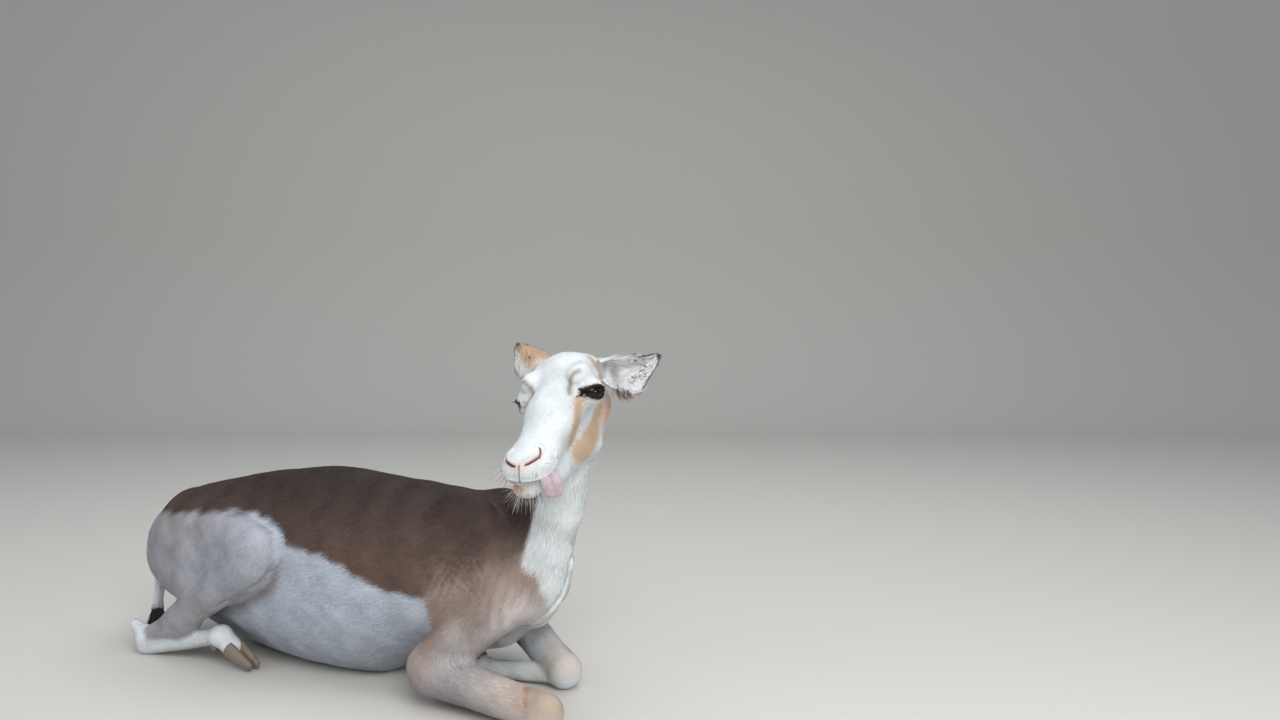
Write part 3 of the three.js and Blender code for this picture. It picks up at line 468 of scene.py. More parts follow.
def grid_values(field, axes, block=8):
    """The field on a grid of lines, worked out in full only in the blocks near the skin."""
    counts = [len(a) for a in axes]
    starts = [np.arange(0, n, block) for n in counts]
    ends = [np.minimum(s + block, n - 1) for s, n in zip(starts, counts)]
    middles = [(a[s] + a[e]) / 2 for a, s, e in zip(axes, starts, ends)]
    spans = [a[e] - a[s] for a, s, e in zip(axes, starts, ends)]
    centre = np.stack([m.ravel() for m in np.meshgrid(*middles, indexing="ij")], 1)
    half = np.sqrt(sum(s.ravel() ** 2 for s in np.meshgrid(*spans, indexing="ij"))) / 2
    rough = field(centre)
    near = np.abs(rough) < half * 1.5 + 4
    shape = [len(s) for s in starts]

    def spread(a):
        for axis, n in enumerate(counts):
            a = np.repeat(a, block, axis=axis).take(np.arange(n), axis=axis)
        return a
    value = spread(np.where(rough < 0, -50.0, 50.0).reshape(shape)).astype(np.float32)
    at = np.nonzero(spread(near.reshape(shape)))
    for part in np.array_split(np.arange(len(at[0])), max(1, len(at[0]) // 300000)):
        i = [a[part] for a in at]
        value[i[0], i[1], i[2]] = field(np.stack([axes[k][i[k]] for k in range(3)], 1))
    return value


def facets(field, axes):
    """Points and triangles of the surface where a field is zero: a point in each crossed cell."""
    value = grid_values(field, axes)
    value[value == 0] = 1e-6
    inside = value < 0
    corners = [(a, b, c) for a in (0, 1) for b in (0, 1) for c in (0, 1)]
    counts = value.shape

    def corner(array, c):
        return array[tuple(slice(k, n - 1 + k) for k, n in zip(c, counts))]
    held = sum(corner(inside, c).astype(np.int8) for c in corners)
    cells = np.nonzero((held > 0) & (held < 8))
    total, crossings = np.zeros((len(cells[0]), 3)), np.zeros(len(cells[0]))
    for a in corners:
        for axis in range(3):
            if a[axis] == 1:
                continue
            b = tuple(1 if k == axis else a[k] for k in range(3))
            va = value[tuple(cells[k] + a[k] for k in range(3))]
            vb = value[tuple(cells[k] + b[k] for k in range(3))]
            crossed = (va < 0) != (vb < 0)
            t = np.where(crossed, va / np.where(crossed, va - vb, 1), 0)
            pa = np.stack([axes[k][cells[k] + a[k]] for k in range(3)], 1)
            pb = np.stack([axes[k][cells[k] + b[k]] for k in range(3)], 1)
            total += (pa + (pb - pa) * t[:, None]) * crossed[:, None]
            crossings += crossed
    points = total / crossings[:, None]
    number = np.full([n - 1 for n in counts], -1, np.int64)
    number[cells] = np.arange(len(points))
    quads = []
    for axis in range(3):
        near = [slice(None)] * 3
        far = [slice(None)] * 3
        near[axis], far[axis] = slice(0, -1), slice(1, None)
        a, b = inside[tuple(near)], inside[tuple(far)]
        at = list(np.nonzero(a != b))
        u, v = (axis + 1) % 3, (axis + 2) % 3
        keep = (at[u] > 0) & (at[v] > 0) & (at[u] < counts[u] - 1) & (at[v] < counts[v] - 1)
        at = [x[keep] for x in at]
        ring = []
        for du, dv in ((1, 1), (0, 1), (0, 0), (1, 0)):
            cell = list(at)
            cell[u], cell[v] = at[u] - du, at[v] - dv
            ring.append(number[tuple(cell)])
        ring = np.stack(ring, 1)
        flip = ~a[tuple(at)]
        ring[flip] = ring[flip][:, ::-1]
        quads.append(ring)
    quads = np.concatenate(quads)
    p = points[quads]
    first = np.linalg.norm(p[:, 0] - p[:, 2], axis=1) < np.linalg.norm(p[:, 1] - p[:, 3], axis=1)
    split = np.where(first[:, None], quads[:, [0, 1, 2, 0, 2, 3]], quads[:, [1, 2, 3, 1, 3, 0]])
    return points, split.reshape(-1, 3)


def settled(points, field, steps, reach):
    """Points moved onto the surface where a field is zero, at most reach away."""
    p = points.copy()
    h = 0.4
    for _ in range(steps):
        value = field(p)
        slope = np.stack([field(p + np.eye(3)[k] * h) - value for k in range(3)], 1) / h
        size = np.maximum((slope ** 2).sum(1), 0.25)
        p -= slope * (value / size)[:, None]
    move = p - points
    far = np.linalg.norm(move, axis=1, keepdims=True)
    return points + move * np.minimum(1, reach / np.maximum(far, 1e-9))


def finer(points, triangles, chosen):
    """Triangles whose chosen edges are halved, each split into two, three or four."""
    ends = np.sort(np.concatenate([triangles[:, [0, 1]], triangles[:, [1, 2]], triangles[:, [2, 0]]]), axis=1)
    key = ends[:, 0] * (len(points) + 1) + ends[:, 1]
    _, first, which = np.unique(key, return_index=True, return_inverse=True)
    pairs = ends[first]
    middle = points[pairs].mean(1)
    cut = chosen(middle)
    number = np.where(cut, len(points) + np.cumsum(cut) - 1, -1)
    mid = number[which].reshape(3, -1).T
    a, b, c = triangles.T
    m = mid.T
    made = []
    cuts = (mid >= 0).sum(1)
    made.append(triangles[cuts == 0])
    k = cuts == 3
    quarters = ([a, m[0], m[2]], [b, m[1], m[0]], [c, m[2], m[1]], [m[0], m[1], m[2]])
    made += [np.stack(r, 1)[k] for r in quarters]
    for turn in range(3):
        a, b, c = np.roll(triangles, -turn, axis=1).T
        m = np.roll(mid, -turn, axis=1).T
        k = (cuts == 1) & (m[0] >= 0)
        made += [np.stack(r, 1)[k] for r in ([a, m[0], c], [m[0], b, c])]
        k = (cuts == 2) & (m[2] < 0)
        made += [np.stack(r, 1)[k] for r in ([m[0], b, m[1]], [a, m[0], m[1]], [a, m[1], c])]
    return np.concatenate([points, middle[cut]]), np.concatenate(made), np.flatnonzero(cut)


def lines(*spans):
    """Grid lines: spans of (from, to, spacing) end to end."""
    out = []
    for low, high, step in spans:
        out.append(np.linspace(low, high, int(round((high - low) / step)) + 1)[:-1])
    return np.concatenate([*out, [spans[-1][1]]])


CELL_BODY, CELL_HEAD = ((3.9, 1.9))
axes = [lines((-376, 236, CELL_BODY), (236, 418, CELL_HEAD)),
        lines((-172, 118, CELL_HEAD), (118, 150, CELL_BODY)),
        lines((-6, 228, CELL_BODY), (228, 444, CELL_HEAD))]
skin_points, skin_faces = facets(skin_field, axes)
skin_points = settled(skin_points, skin_field, 2, 2.0)


def on_face(p):
    q = to_head(p)
    return (q[:, 0] > -34) & (np.abs(q[:, 1]) < 60) & (q[:, 2] > -62)


def on_shoulder(p):
    return (p[:, 0] > 186) & (p[:, 0] < 244) & (p[:, 2] > 50) & (p[:, 2] < 205)


def at_eyes_and_lips(p):
    q = to_head(p)
    eye = np.linalg.norm(both_as_left(q) - EYE_AT, axis=1) < 27
    lips = (q[:, 0] > 72) & (q[:, 2] < 3) & (q[:, 2] > -37)
    return (eye & (q[:, 0] > -34)) | lips


for zone in (lambda p: on_face(p) | on_shoulder(p), at_eyes_and_lips):
    old = len(skin_points)
    skin_points, skin_faces, _ = finer(skin_points, skin_faces, zone)
    skin_points[old:] = settled(skin_points[old:], skin_field, 1, 0.8)


def normals_of(points, faces):
    a, b, c = (points[faces[:, k]] for k in range(3))
    n = np.cross(b - a, c - a)
    out = np.zeros_like(points)
    for k in range(3):
        for axis in range(3):
            out[:, axis] += np.bincount(faces[:, k], n[:, axis], len(points))
    return out / np.maximum(np.linalg.norm(out, axis=1, keepdims=True), 1e-12)


# Face: lids round the eyes, the nostrils, the parting under the nose and the line of the mouth, pressed and
# raised in the skin itself, as creases in living hide are. All places are in the head's own frame.
LID_EDGE, LID_TOP, LID_R, EYE_BED = 16.2, 1.5, 16.6, 12.3
EYE_WAY = unit([0.42, 0.90, -0.05])
EYE_LONG_WAY = unit([0.83, -0.37, 0.41] - np.dot([0.83, -0.37, 0.41], EYE_WAY) * EYE_WAY)
EYE_HIGH_WAY = np.cross(EYE_LONG_WAY, EYE_WAY)
EYE_LONG, EYE_HIGH, EYE_TURNED = 12.0, 6.0, 6.0
NOSE_ASIDE, LIP_GAP = 2.0, 2.6
NOSTRIL_LINE = [[119.7, 6.2, -9.4], [118, 10.3, -8.7], [114.2, 14.6, -8.1], [109.7, 18.6, -7.8],
                [105, 19.2, -6.6], [99, 16.8, -5.5], [98.5, 16.6, -2]]
LIP_LINE = [[89, 28, -20], [88.2, 26.6, -24.2], [90, 25, -28.3], [98.7, 25.3, -28], [101.8, 22.6, -29.9],
            [108, 20.6, -29.5], [112, 18, -30.4], [116.9, 11.3, -30.2],
            [120.4, 2.2, -28.4], [122, -6, -26], [120.5, -13.4, -24.6], [114, -20, -25.4], [103, -24, -26.8],
            [90, -24, -28.4], [77, -22, -29.6]]
PHILTRUM_LINE = [[120.5, 1.3, -9.1], [123.4, 0.4, -15.3], [124.8, -1.6, -22.2], [123, -2.2, -26.5]]
CHEST_FOLD = [[330, 6, 158], [321, 0, 118], [306, -14, 92], [286, -24, 74]]
SHANK_FOLD = [[-8, 110, 150], [-20, 118, 128], [-44, 120, 108], [-78, 116, 92], [-110, 112, 84]]


def laid(line):
    """A line of places in the head's frame, cut finer and moved onto the skin."""
    line = np.asarray(line, float)
    quarters = np.linspace(0, 1, 5)[:-1, None]
    cut = np.concatenate([lerp(a, b, quarters) for a, b in zip(line, line[1:])] + [line[-1:]])
    return to_head(settled(from_head(cut), skin_field, 4, 14.0))


def line_distance(p, line):
    """Distance to a broken line, 999 far off, and how far along it the nearest place lies, from 0 to 1."""
    line = np.asarray(line, float)
    near = np.flatnonzero(np.all((p > line.min(0) - 40) & (p < line.max(0) + 40), axis=1))
    close = p[near]
    best, where = np.full(len(close), 999.0), np.zeros(len(close))
    for n, (a, b) in enumerate(zip(line, line[1:])):
        t = np.clip((close - a) @ (b - a) / np.dot(b - a, b - a), 0, 1)
        d = np.linalg.norm(close - a - t[:, None] * (b - a), axis=1)
        where = np.where(d < best, (n + t) / (len(line) - 1), where)
        best = np.minimum(best, d)
    distance, along = np.full(len(p), 999.0), np.zeros(len(p))
    distance[near], along[near] = best, where
    return distance, along


NOSTRIL_LINE, LIP_LINE, PHILTRUM_LINE = laid(NOSTRIL_LINE), laid(LIP_LINE), laid(PHILTRUM_LINE)


def bell(x, width):
    return np.exp(-(x / width) ** 2)


def eye_place(q, side):
    """Distance from the middle of one eye, and how far out of the lids' opening, which ends at 1."""
    v = q * [1, side, 1] - EYE_AT
    far = np.maximum(np.linalg.norm(v, axis=1), 1e-6)
    out = v / far[:, None]
    u, w = out @ EYE_LONG_WAY * LID_R, out @ EYE_HIGH_WAY * LID_R
    half = EYE_LONG if side > 0 else np.where(u > 0, EYE_TURNED, EYE_LONG)
    top = EYE_HIGH * (1 + 0.1 * (w > 0)) * np.sqrt(np.maximum(1 - 0.2 * (u / EYE_LONG) ** 2, 0.1))
    opening = np.sqrt((u / half) ** 2 + (w / top) ** 2)
    start = half - 3.0
    t = np.clip((u - start) / 6.8, 0, 1)
    corner = np.hypot(u - (start + 6.8 * t), w + 0.4 * t) / lerp(3.6, 2.7, t)
    opening = np.where(out @ EYE_WAY > 0.1, np.minimum(opening, corner), 9)
    return far, out, opening, u, w


def nose_place(q):
    """Places in the head's frame folded over the middle of the nose, which lies a little to the left."""
    y = q[:, 1] - NOSE_ASIDE * smooth_step(85, 115, q[:, 0])
    return np.stack([q[:, 0], np.abs(y), q[:, 2]], 1)


def lip_width(t):
    """Half the width of the parting between the lips, widest at the front."""
    return np.interp(t, [0, 0.2, 0.4, 0.5, 0.62, 0.75, 1], [1.0, 1.2, 1.4, 2.0, 1.7, 1.2, 0.8])


def under_lip(q):
    """How deep in the gap under the upper lip, which is painted dark as shade, a point lies, from 0 to 1."""
    d, t = line_distance(q + [0, 0, LIP_GAP], LIP_LINE)
    return bell(d, 2.3) * smooth_step(0.3, 0.4, t) * smooth_step(0.64, 0.56, t)


def face_shaped(points, normals):
    """The skin's points with the creases of the face pressed in."""
    q = to_head(points)
    n = normals @ HEAD_AXES.T
    near = q[:, 0] > -40
    step = np.zeros(len(q))
    folded = nose_place(q)
    d, t = line_distance(folded, NOSTRIL_LINE)
    wide = np.interp(t, [0, 0.2, 0.5, 0.62, 1], [0.7, 1.0, 1.3, 0.9, 0.6])
    above = smooth_step(-1, 3, folded[:, 2] + 9.5 - 0.1 * (120 - folded[:, 0]))
    step += -4.6 * bell(d, wide) * smooth_step(1.0, 0.5, t * 0.9) + 1.2 * bell(d - 3.2, 1.7) * above
    d, t = line_distance(q, LIP_LINE)
    open_by = lip_width(t)
    step += (-4.6 * bell(d, open_by) + 0.9 * bell(d - open_by - 2, 1.8)) * smooth_step(1, 0.94, t)
    step -= 3.2 * under_lip(q)
    d, _ = line_distance(q, PHILTRUM_LINE)
    step += -1.6 * bell(d, 0.8) + 0.4 * bell(d - 2, 1.2)
    q = q + n * (step * near)[:, None]
    for side in (1, -1):
        far, out, opening, u, w = eye_place(q, side)
        close = far < 30
        rim = LID_TOP * bell(opening - 1.16, 0.13) * np.where(w > 0, 1.0, 0.6)
        crease = -1.1 * bell(opening - 1.62, 0.12) * (w > 1) - 0.7 * bell(opening - 1.5, 0.1) * (w < -1)
        lid = np.maximum(far, LID_EDGE) + (rim + crease) * smooth_step(30, 20, far)
        new = lerp(EYE_BED, lid, smooth_step(0.93, 1.03, opening))
        q = np.where(close[:, None], (EYE_AT + out * new[:, None]) * [1, side, 1], q)
    return np.where(near[:, None], from_head(q), points)


def flutter(p, size, seed):
    """Smooth, even variation between about -1 and 1, with bumps of about that size in millimetres."""
    draw = np.random.RandomState(seed)
    ways = unit(draw.normal(size=(7, 3))) * (2 * np.pi / size) * draw.uniform(0.6, 1.5, (7, 1))
    return np.sin(p @ ways.T + draw.uniform(0, 6.28, 7)).sum(1) / 2.6


def body_shaped(points, normals):
    """The skin's points with the fine folds of the shoulder and the keel of the breast."""
    x, y, z = points.T
    away = np.abs(y)
    step = 0.35 * flutter(points, 60, 3)
    shoulder = bell(np.hypot(x - 240, z - 150), 26) * (away > 40)
    armpit = bell(np.hypot(x - 206, z - 140), 20) * (away > 40)
    chest = bell(np.hypot(x - 290, z - 122), 22) * (away > 30)
    step += 0.55 * shoulder * np.sin((x * 0.55 + z * 0.9 + 3 * flutter(points, 30, 5)) * 2 * np.pi / 7.5)
    step += 0.6 * armpit * np.sin((x * 0.9 - z * 0.5 + 3 * flutter(points, 30, 6)) * 2 * np.pi / 8)
    step += 0.8 * chest * np.sin((x * 0.95 - z * 0.2) * 2 * np.pi / 13)
    d, _ = line_distance(points, CHEST_FOLD)
    step += 2.2 * bell(d, 3.2) - 1.0 * bell(d - 6, 3)
    d, _ = line_distance(np.stack([x, away, z], 1), SHANK_FOLD)
    step -= 3.4 * bell(d, 4)
    return points + normals * step[:, None]


plain_points = skin_points
face_normals = normals_of(plain_points, skin_faces)
skin_points = face_shaped(plain_points, face_normals)
skin_points = body_shaped(skin_points, face_normals)
skin_points[:, 2] = np.maximum(skin_points[:, 2], 0.4)
skin_normals = normals_of(skin_points, skin_faces)

# Markings: dark walnut back, white belly, thighs, rump and face, tan shoulders, cheeks and ears, dark rims
# round eyes and ears. They are worked out from places on the body, alike for skin and coat. Painted shade is
# laid in with them: on belly, thighs and far foreleg, between thigh and belly, in nostrils, mouth and ears,
# at the brows, under the eyes, along the back.
WHITE = colour("#dde2e4")
SHADED_BELLY = colour("#b0b7c2")
WALNUT, WALNUT_TOP = colour("#5e4a40"), colour("#342925")
SHOULDER_TAN, CHEST_TAN, LEG_TAN, KNEE_TAN = (colour("#968277"), colour("#c9bfbc"), colour("#a39d9d"),
                                              colour("#a88b6c"))
SHADED_THIGH_WHITE, THIGH_TINT, GROIN_SHADE = colour("#a8aab3"), colour("#9c918d"), colour("#6d6360")
CHEEK_TAN, CROWN_TAN, EAR_TAN, GREY_SHADE = (colour("#caa887"), colour("#b08a68"), colour("#b99b7c"),
                                           colour("#938c7c"))
NAPE_ROSE, NOSE_PINK, DARK, LIP_DARK, CHIN_TAN = (colour("#cf8a68"), colour("#e0a79d"), colour("#120d0b"),
                                                  colour("#5b4c48"), colour("#bd8d62"))
EAR_SKIN, EAR_HOLLOW_SHADE, SCRATCH_RED, FAR_LEG_SHADE = (colour("#eceef1"), colour("#9a9296"), colour("#8f3a26"),
                                            colour("#b3bac2"))
SADDLE_EDGE = np.array([[-340, 330], [-296, 240], [-280, 197], [-250, 186], [-200, 189], [-119, 196],
                        [-83, 196], [-67, 196], [-50, 193], [-28, 187], [-12, 178], [-4, 166], [17.5, 163],
                        [63.5, 155], [107, 138], [132, 126], [156, 121], [190, 119]])
THROAT_EDGE = np.array([[100, 15], [115, 28], [131, 44], [150, 54], [167, 72], [190, 80], [210, 84],
                        [240, 95], [300, 112], [350, 118]])
TEAR_LINE = [[10, 33, 8], [15, 32, 2.6], [23, 29.5, -9], [31, 26, -19], [39, 23, -27], [47, 22, -32]]
CHEEK_LINE = [[-42, 26, -28], [-28, 25, -37], [-12, 24, -44], [4, 23, -48], [17, 21, -50], [28, 19, -47]]
BUD_LINE = [[-5, 34, 31], [-2, 30, 31], [1.5, 24.4, 25.5], [6.6, 22.5, 19.8], [13.9, 24.5, 15.7]]
CROWN_LINE = [[-42, 33, 33], [-36, 39, 24], [-38, 41, 10], [-40, 41, 4]]
TEAR_LINE, CHEEK_LINE, BUD_LINE = laid(TEAR_LINE), laid(CHEEK_LINE), laid(BUD_LINE)


def ear_places(p):
    """For each ear: how far along it and across it a point lies, which side of the sheet, and how far off."""
    found = {}
    for name, (_, sheet) in ears.items():
        tree = ear_tree(sheet)
        low, high = sheet.reshape(-1, 3).min(0) - 6, sheet.reshape(-1, 3).max(0) + 6
        near = np.flatnonzero(np.all((p > low) & (p < high), axis=1))
        rows = np.full((len(p), 4), [0, 0, 1, 99.0])
        for n in near:
            place, normal, face, distance = tree.find_nearest(p[n])
            i, j = divmod(face, EAR_COLUMNS)
            facing = 1 if (Vector(p[n]) - place).dot(normal) > 0 else -1
            rows[n] = i / EAR_ROWS, 2 * (j + 0.5) / EAR_COLUMNS - 1, facing * EAR_SIDE[name], distance
        found[name] = rows
    return found


def over(base, top, amount):
    """One colour laid over another by an amount for each point."""
    return base + (np.asarray(top) - base) * np.clip(amount, 0, 1)[:, None]


def markings(p, n, ear_rows):
    """The coat's colour at points on the skin."""
    x, y, z = p.T
    away = np.abs(y)
    wave = flutter(p, 34, 11) * 1.4 + flutter(p, 9, 12) * 0.9
    out = np.tile(WHITE, (len(p), 1))
    # Painted shade: the white belly is laid in as a darker bluish grey, as it looks in shade.
    out = over(out, SHADED_BELLY, smooth_step(240, 205, x) * smooth_step(-240, -200, x))
    fields = {k: np.minimum(legs["left"][k](p), legs["right"][k](p)) for k in legs["left"]}
    thigh = smooth_step(6, 0, np.minimum(fields["thigh"], fields["shank"]) - 0.5)
    # Painted shade: the white of thighs and shanks is laid in as a darker bluish grey.
    out = over(out, SHADED_THIGH_WHITE, thigh)
    # Painted shade in the crease between thigh and belly, under the fold of the shank.
    fold = np.interp(x, [-110, -78, -44, -20, -8], [84, 92, 108, 128, 150])
    painted_groin_shade = smooth_step(26, 5, np.minimum(fields["thigh"], fields["shank"])) * (1 - thigh)
    painted_groin_shade = painted_groin_shade * smooth_step(4, -8, z - fold) * smooth_step(4, -14, x) * smooth_step(-190, -140, x)
    out = over(out, GROIN_SHADE, 0.75 * painted_groin_shade)
    out = over(out, THIGH_TINT, thigh * (0.3 + 0.15 * flutter(p, 90, 21)) * smooth_step(-60, -160, x))
    edge = np.interp(x, SADDLE_EDGE[:, 0], SADDLE_EDGE[:, 1])
    rump = smooth_step(-4, 4, (-232 - x) * 0.55 - away + wave)
    saddle = smooth_step(-4.5, 4.5, z - edge + wave) * (1 - rump)
    # Partly painted shade: the back's brown darkens towards its top.
    walnut = over(np.tile(WALNUT, (len(p), 1)), WALNUT_TOP, smooth_step(130, 255, z + 2 * wave))
    out = over(out, walnut, saddle)
    soft = lerp(5, 32, smooth_step(118, 150, z))
    front = smooth_step(0, 1, (x - 187 + 0.35 * wave + soft * 0.8) / (2 * soft))
    front = np.maximum(front, smooth_step(9, 2, np.minimum(fields["upper_arm"], fields["forearm"])) *
                       smooth_step(96, 60, z) * smooth_step(130, 150, x))
    on_leg = 60 - np.minimum(fields["forearm"], 60)
    rear = smooth_step(238, 196, x)
    tan = over(np.tile(LEG_TAN, (len(p), 1)), SHOULDER_TAN,
               smooth_step(lerp(62, 14, rear), lerp(128, 84, rear), z + 2 * wave))
    tan = over(tan, CHEST_TAN, smooth_step(262, 300, x) * smooth_step(150, 110, z) * 0.9)
    tan = over(tan, walnut, smooth_step(118, 176, z + 3 * wave - 0.45 * np.clip(x - 225, 0, 90)))
    breast = smooth_step(124, 66, z) * smooth_step(250, 290, x) * smooth_step(40, 20, on_leg)
    tan = over(tan, WHITE, breast * 0.65)
    out = over(out, tan, front)
    out = over(out, WHITE, smooth_step(60, 30, away) * smooth_step(80, 40, z) * front * 0.8)
    knee = [np.linalg.norm(p - np.array(FORE[k][2]), axis=1) for k in FORE]
    on_fore = smooth_step(8, 1, fields["forearm"])
    # Painted shade on the far foreleg: its white laid in as a darker bluish grey, most where it faces down.
    shaded_far_leg = on_fore * (y > -30)
    out = over(out, FAR_LEG_SHADE, shaded_far_leg * lerp(0.6, 0.95, smooth_step(2, -6, n[:, 2] * 10 - 3)))
    on_foot = smooth_step(6, 1, np.minimum(fields["fore_foot"], fields["hind_foot"]))
    at_knee = np.minimum(knee[0], knee[1] * 1.7)
    out = over(out, WHITE, on_foot * 0.85 * smooth_step(16, 34, at_knee))
    on_top = np.maximum(on_fore, on_foot) * smooth_step(-0.6, 0.5, n[:, 2])
    out = over(out, KNEE_TAN, bell(at_knee, 58) * on_top * 0.75)
    scratch, _ = line_distance(p, [[328, -96, 44], [331, -100, 43], [339, -114, 34], [342, -120, 28]])
    out = over(out, SCRATCH_RED, 0.85 * bell(scratch - 0.6 * flutter(p, 5, 61), 1.9))
    centre_x = np.interp(z, [158, 224, 296, 341], [278, 303, 323, 345])
    centre_y = np.interp(z, [158, 224, 296, 341], [0, 4, 12, 21])
    turn_out = np.degrees(np.arctan2(np.abs(y - centre_y), x - centre_x))
    neck_edge = np.interp(z, THROAT_EDGE[:, 0], THROAT_EDGE[:, 1])
    throat = smooth_step(5, -5, turn_out - neck_edge + wave) * smooth_step(86, 112, z) * (x > 255)
    patch = bell(np.linalg.norm((both_as_left(p) - [309, 43, 143]) / [11, 11, 15], axis=1), 1)
    out = over(out, WHITE, throat)
    out = over(out, SHOULDER_TAN, 0.8 * patch)
    q = to_head(p)
    folded = both_as_left(q)
    fx, _, fz = folded.T
    on_head = smooth_step(9, 3, head(p)) * (z > 240)
    behind = smooth_step(-50, -60, fx)
    out = over(out, CROWN_TAN, behind * smooth_step(290, 330, z) * smooth_step(60, 100, turn_out))
    out = over(out, WHITE, on_head * smooth_step(-56, -46, fx))
    d, _ = line_distance(folded, CROWN_LINE)
    out = over(out, CROWN_TAN, on_head * np.maximum(0.8 * bell(d, 4.2), behind * smooth_step(6, 16, fz)))
    fine = flutter(p, 3.2, 31)
    d, t = line_distance(folded, TEAR_LINE)
    edge = np.interp(t, [0, 0.15, 0.6, 0.85, 1], [4, 7, 11, 9, 3.5])
    out = over(out, CHEEK_TAN, on_head * 0.9 * smooth_step(4.6, -4.6, d - edge + 2.4 * fine))
    d, t = line_distance(folded, CHEEK_LINE)
    edge = np.interp(t, [0, 0.3, 0.7, 1], [7.5, 11, 17, 13.5])
    out = over(out, CHEEK_TAN, on_head * 0.9 * smooth_step(5, -5, d - edge + 1.8 * fine + 0.4 * wave))
    # Painted shade: a grey crescent along the edge of the mound over each eye.
    d, _ = line_distance(folded, BUD_LINE)
    out = over(out, GREY_SHADE, on_head * 0.9 * bell(d, 3.2))
    rose = bell(np.linalg.norm((q - [-60, 28, -40]) / [17, 15, 18], axis=1), 1)
    out = over(out, NAPE_ROSE, 0.85 * rose)
    for side in (1, -1):
        far, _, opening, _, w = eye_place(q, side)
        close = (far < 24) * on_head
        out = over(out, DARK, close * smooth_step(1.32, 1.16, opening - 0.22 * smooth_step(0, 3, w)))
        # Painted shade: a grey line in the crease under each lower lid.
        out = over(out, GREY_SHADE, close * 0.5 * bell(opening - 1.55, 0.15) * (w < 0))
    nose = nose_place(q)
    d, t = line_distance(nose, NOSTRIL_LINE)
    out = over(out, NOSE_PINK, on_head * bell(d, 3.4) * smooth_step(0.95, 0.6, t) * 0.7)
    # The nostril slits are laid in dark: painted shade in the openings.
    wide = np.interp(t, [0, 0.2, 0.5, 0.62, 1], [0.7, 1.0, 1.3, 1.0, 0.7])
    out = over(out, LIP_DARK, on_head * bell(d, wide + 0.5) * 0.8)
    out = over(out, DARK, on_head * smooth_step(wide + 0.4, wide - 0.5, d) * 0.95)
    d, t = line_distance(q, PHILTRUM_LINE)
    out = over(out, NOSE_PINK, on_head * bell(d, 2.8) * smooth_step(0.6, 0.0, t) * 0.75)
    out = over(out, LIP_DARK, on_head * bell(d, 1.0) * 0.55)
    chin_tan = bell(np.linalg.norm((q - [112, -14, -36]) / [14, 12, 12], axis=1), 1)
    out = over(out, CHIN_TAN, chin_tan * (0.75 + 0.25 * fine))
    # Painted shadow: the mouth's parting and the gap under the upper lip are laid in dark.
    d, t = line_distance(q, LIP_LINE)
    out = over(out, LIP_DARK, on_head * bell(d, lip_width(t) + 0.5) * 0.8)
    out = over(out, DARK, on_head * bell(d, lip_width(t)) * 0.9)
    out = over(out, DARK, on_head * under_lip(q) * 0.9)
    tail_d = tail(p)
    out = over(out, WHITE, smooth_step(6, 2, tail_d))
    out = over(out, WALNUT_TOP, smooth_step(6, 2, tail_d) * smooth_step(40, 18, z))
    for name, rows in ear_rows.items():
        along, wide, facing, distance = rows.T
        on_ear = (distance < 3.2) * smooth_step(0.1, 0.2, along)
        outer = over(np.tile(EAR_TAN, (len(p), 1)), WHITE, smooth_step(0.3, 0.12, along) * 0.6)
        low_side = smooth_step(-0.3, -0.75, wide) * smooth_step(0.9, 0.7, along) * (name == "right")
        outer = over(outer, WHITE, 0.85 * low_side)
        # Painted shade inside the ear: between the combs of hair and deep in the hollow at its root.
        gaps = 0.35 * smooth_step(-0.2, 0.8, np.cos((wide + 0.12 * flutter(p, 14, 71)) * 3.5 * np.pi))
        gaps = gaps * smooth_step(0.98, 0.8, along)
        deep = np.maximum(smooth_step(0.4, 0.2, along) * bell(wide, 0.6), gaps)
        inner = over(np.tile(EAR_SKIN, (len(p), 1)), EAR_HOLLOW_SHADE, deep)
        ear = np.where((facing > 0)[:, None], outer, inner)
        rim = smooth_step(0.86, 0.95, np.abs(wide)) * smooth_step(0.35, 0.7, along)
        ear = over(ear, WALNUT_TOP, np.maximum(rim, smooth_step(0.93, 0.97, along)) * 0.9)
        out = over(out, ear, on_ear)
    return out * (1 + 0.05 * flutter(p, 21, 41) + 0.03 * fine)[:, None]


skin_ears = ear_places(skin_points)
skin_colours = markings(plain_points, skin_normals, skin_ears)


def paint(piece, colours):
    """Stores a colour for each of a mesh's points."""
    layer = piece.data.color_attributes.new("Coat", "FLOAT_COLOR", "POINT")
    rgba = np.concatenate([np.clip(colours, 0, 1), np.ones((len(colours), 1))], 1)
    layer.data.foreach_set("color", rgba.astype(np.float32).ravel())


skin = mesh_object("skin", skin_points, skin_faces)
paint(skin, skin_colours)
# Short-haired hide: a dull, downy ground that fills the gaps of the coat, with a grain of about 2.4 mm, which
# is the spread of a few hairs lying together. Single hairs are too fine to show.
hide, tree, shader = material("short_haired_hide")
stored = node(tree, "ShaderNodeVertexColor", layer_name="Coat")
place = node(tree, "ShaderNodeTexCoord")
grain = node(tree, "ShaderNodeTexNoise", {"Vector": place.outputs["Object"],
                                          "Scale": per_metre(2.381), "Detail": 3.0})
depth = node(tree, "ShaderNodeMapRange", {"Value": grain.outputs["Fac"], "To Min": 0.82, "To Max": 1.1})
tinted = node(tree, "ShaderNodeVectorMath", {0: stored.outputs["Color"], 1: depth.outputs["Result"]},
              operation="MULTIPLY")
bump = node(tree, "ShaderNodeBump", {"Height": grain.outputs["Fac"], "Strength": 0.35, "Distance": 0.0006})
tree.links.new(tinted.outputs["Vector"], shader.inputs["Base Color"])
tree.links.new(bump.outputs["Normal"], shader.inputs["Normal"])
set_sockets(shader, Roughness=0.72, Specular_IOR_Level=0.3)
skin.data.materials.append(hide)
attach(skin, "root")
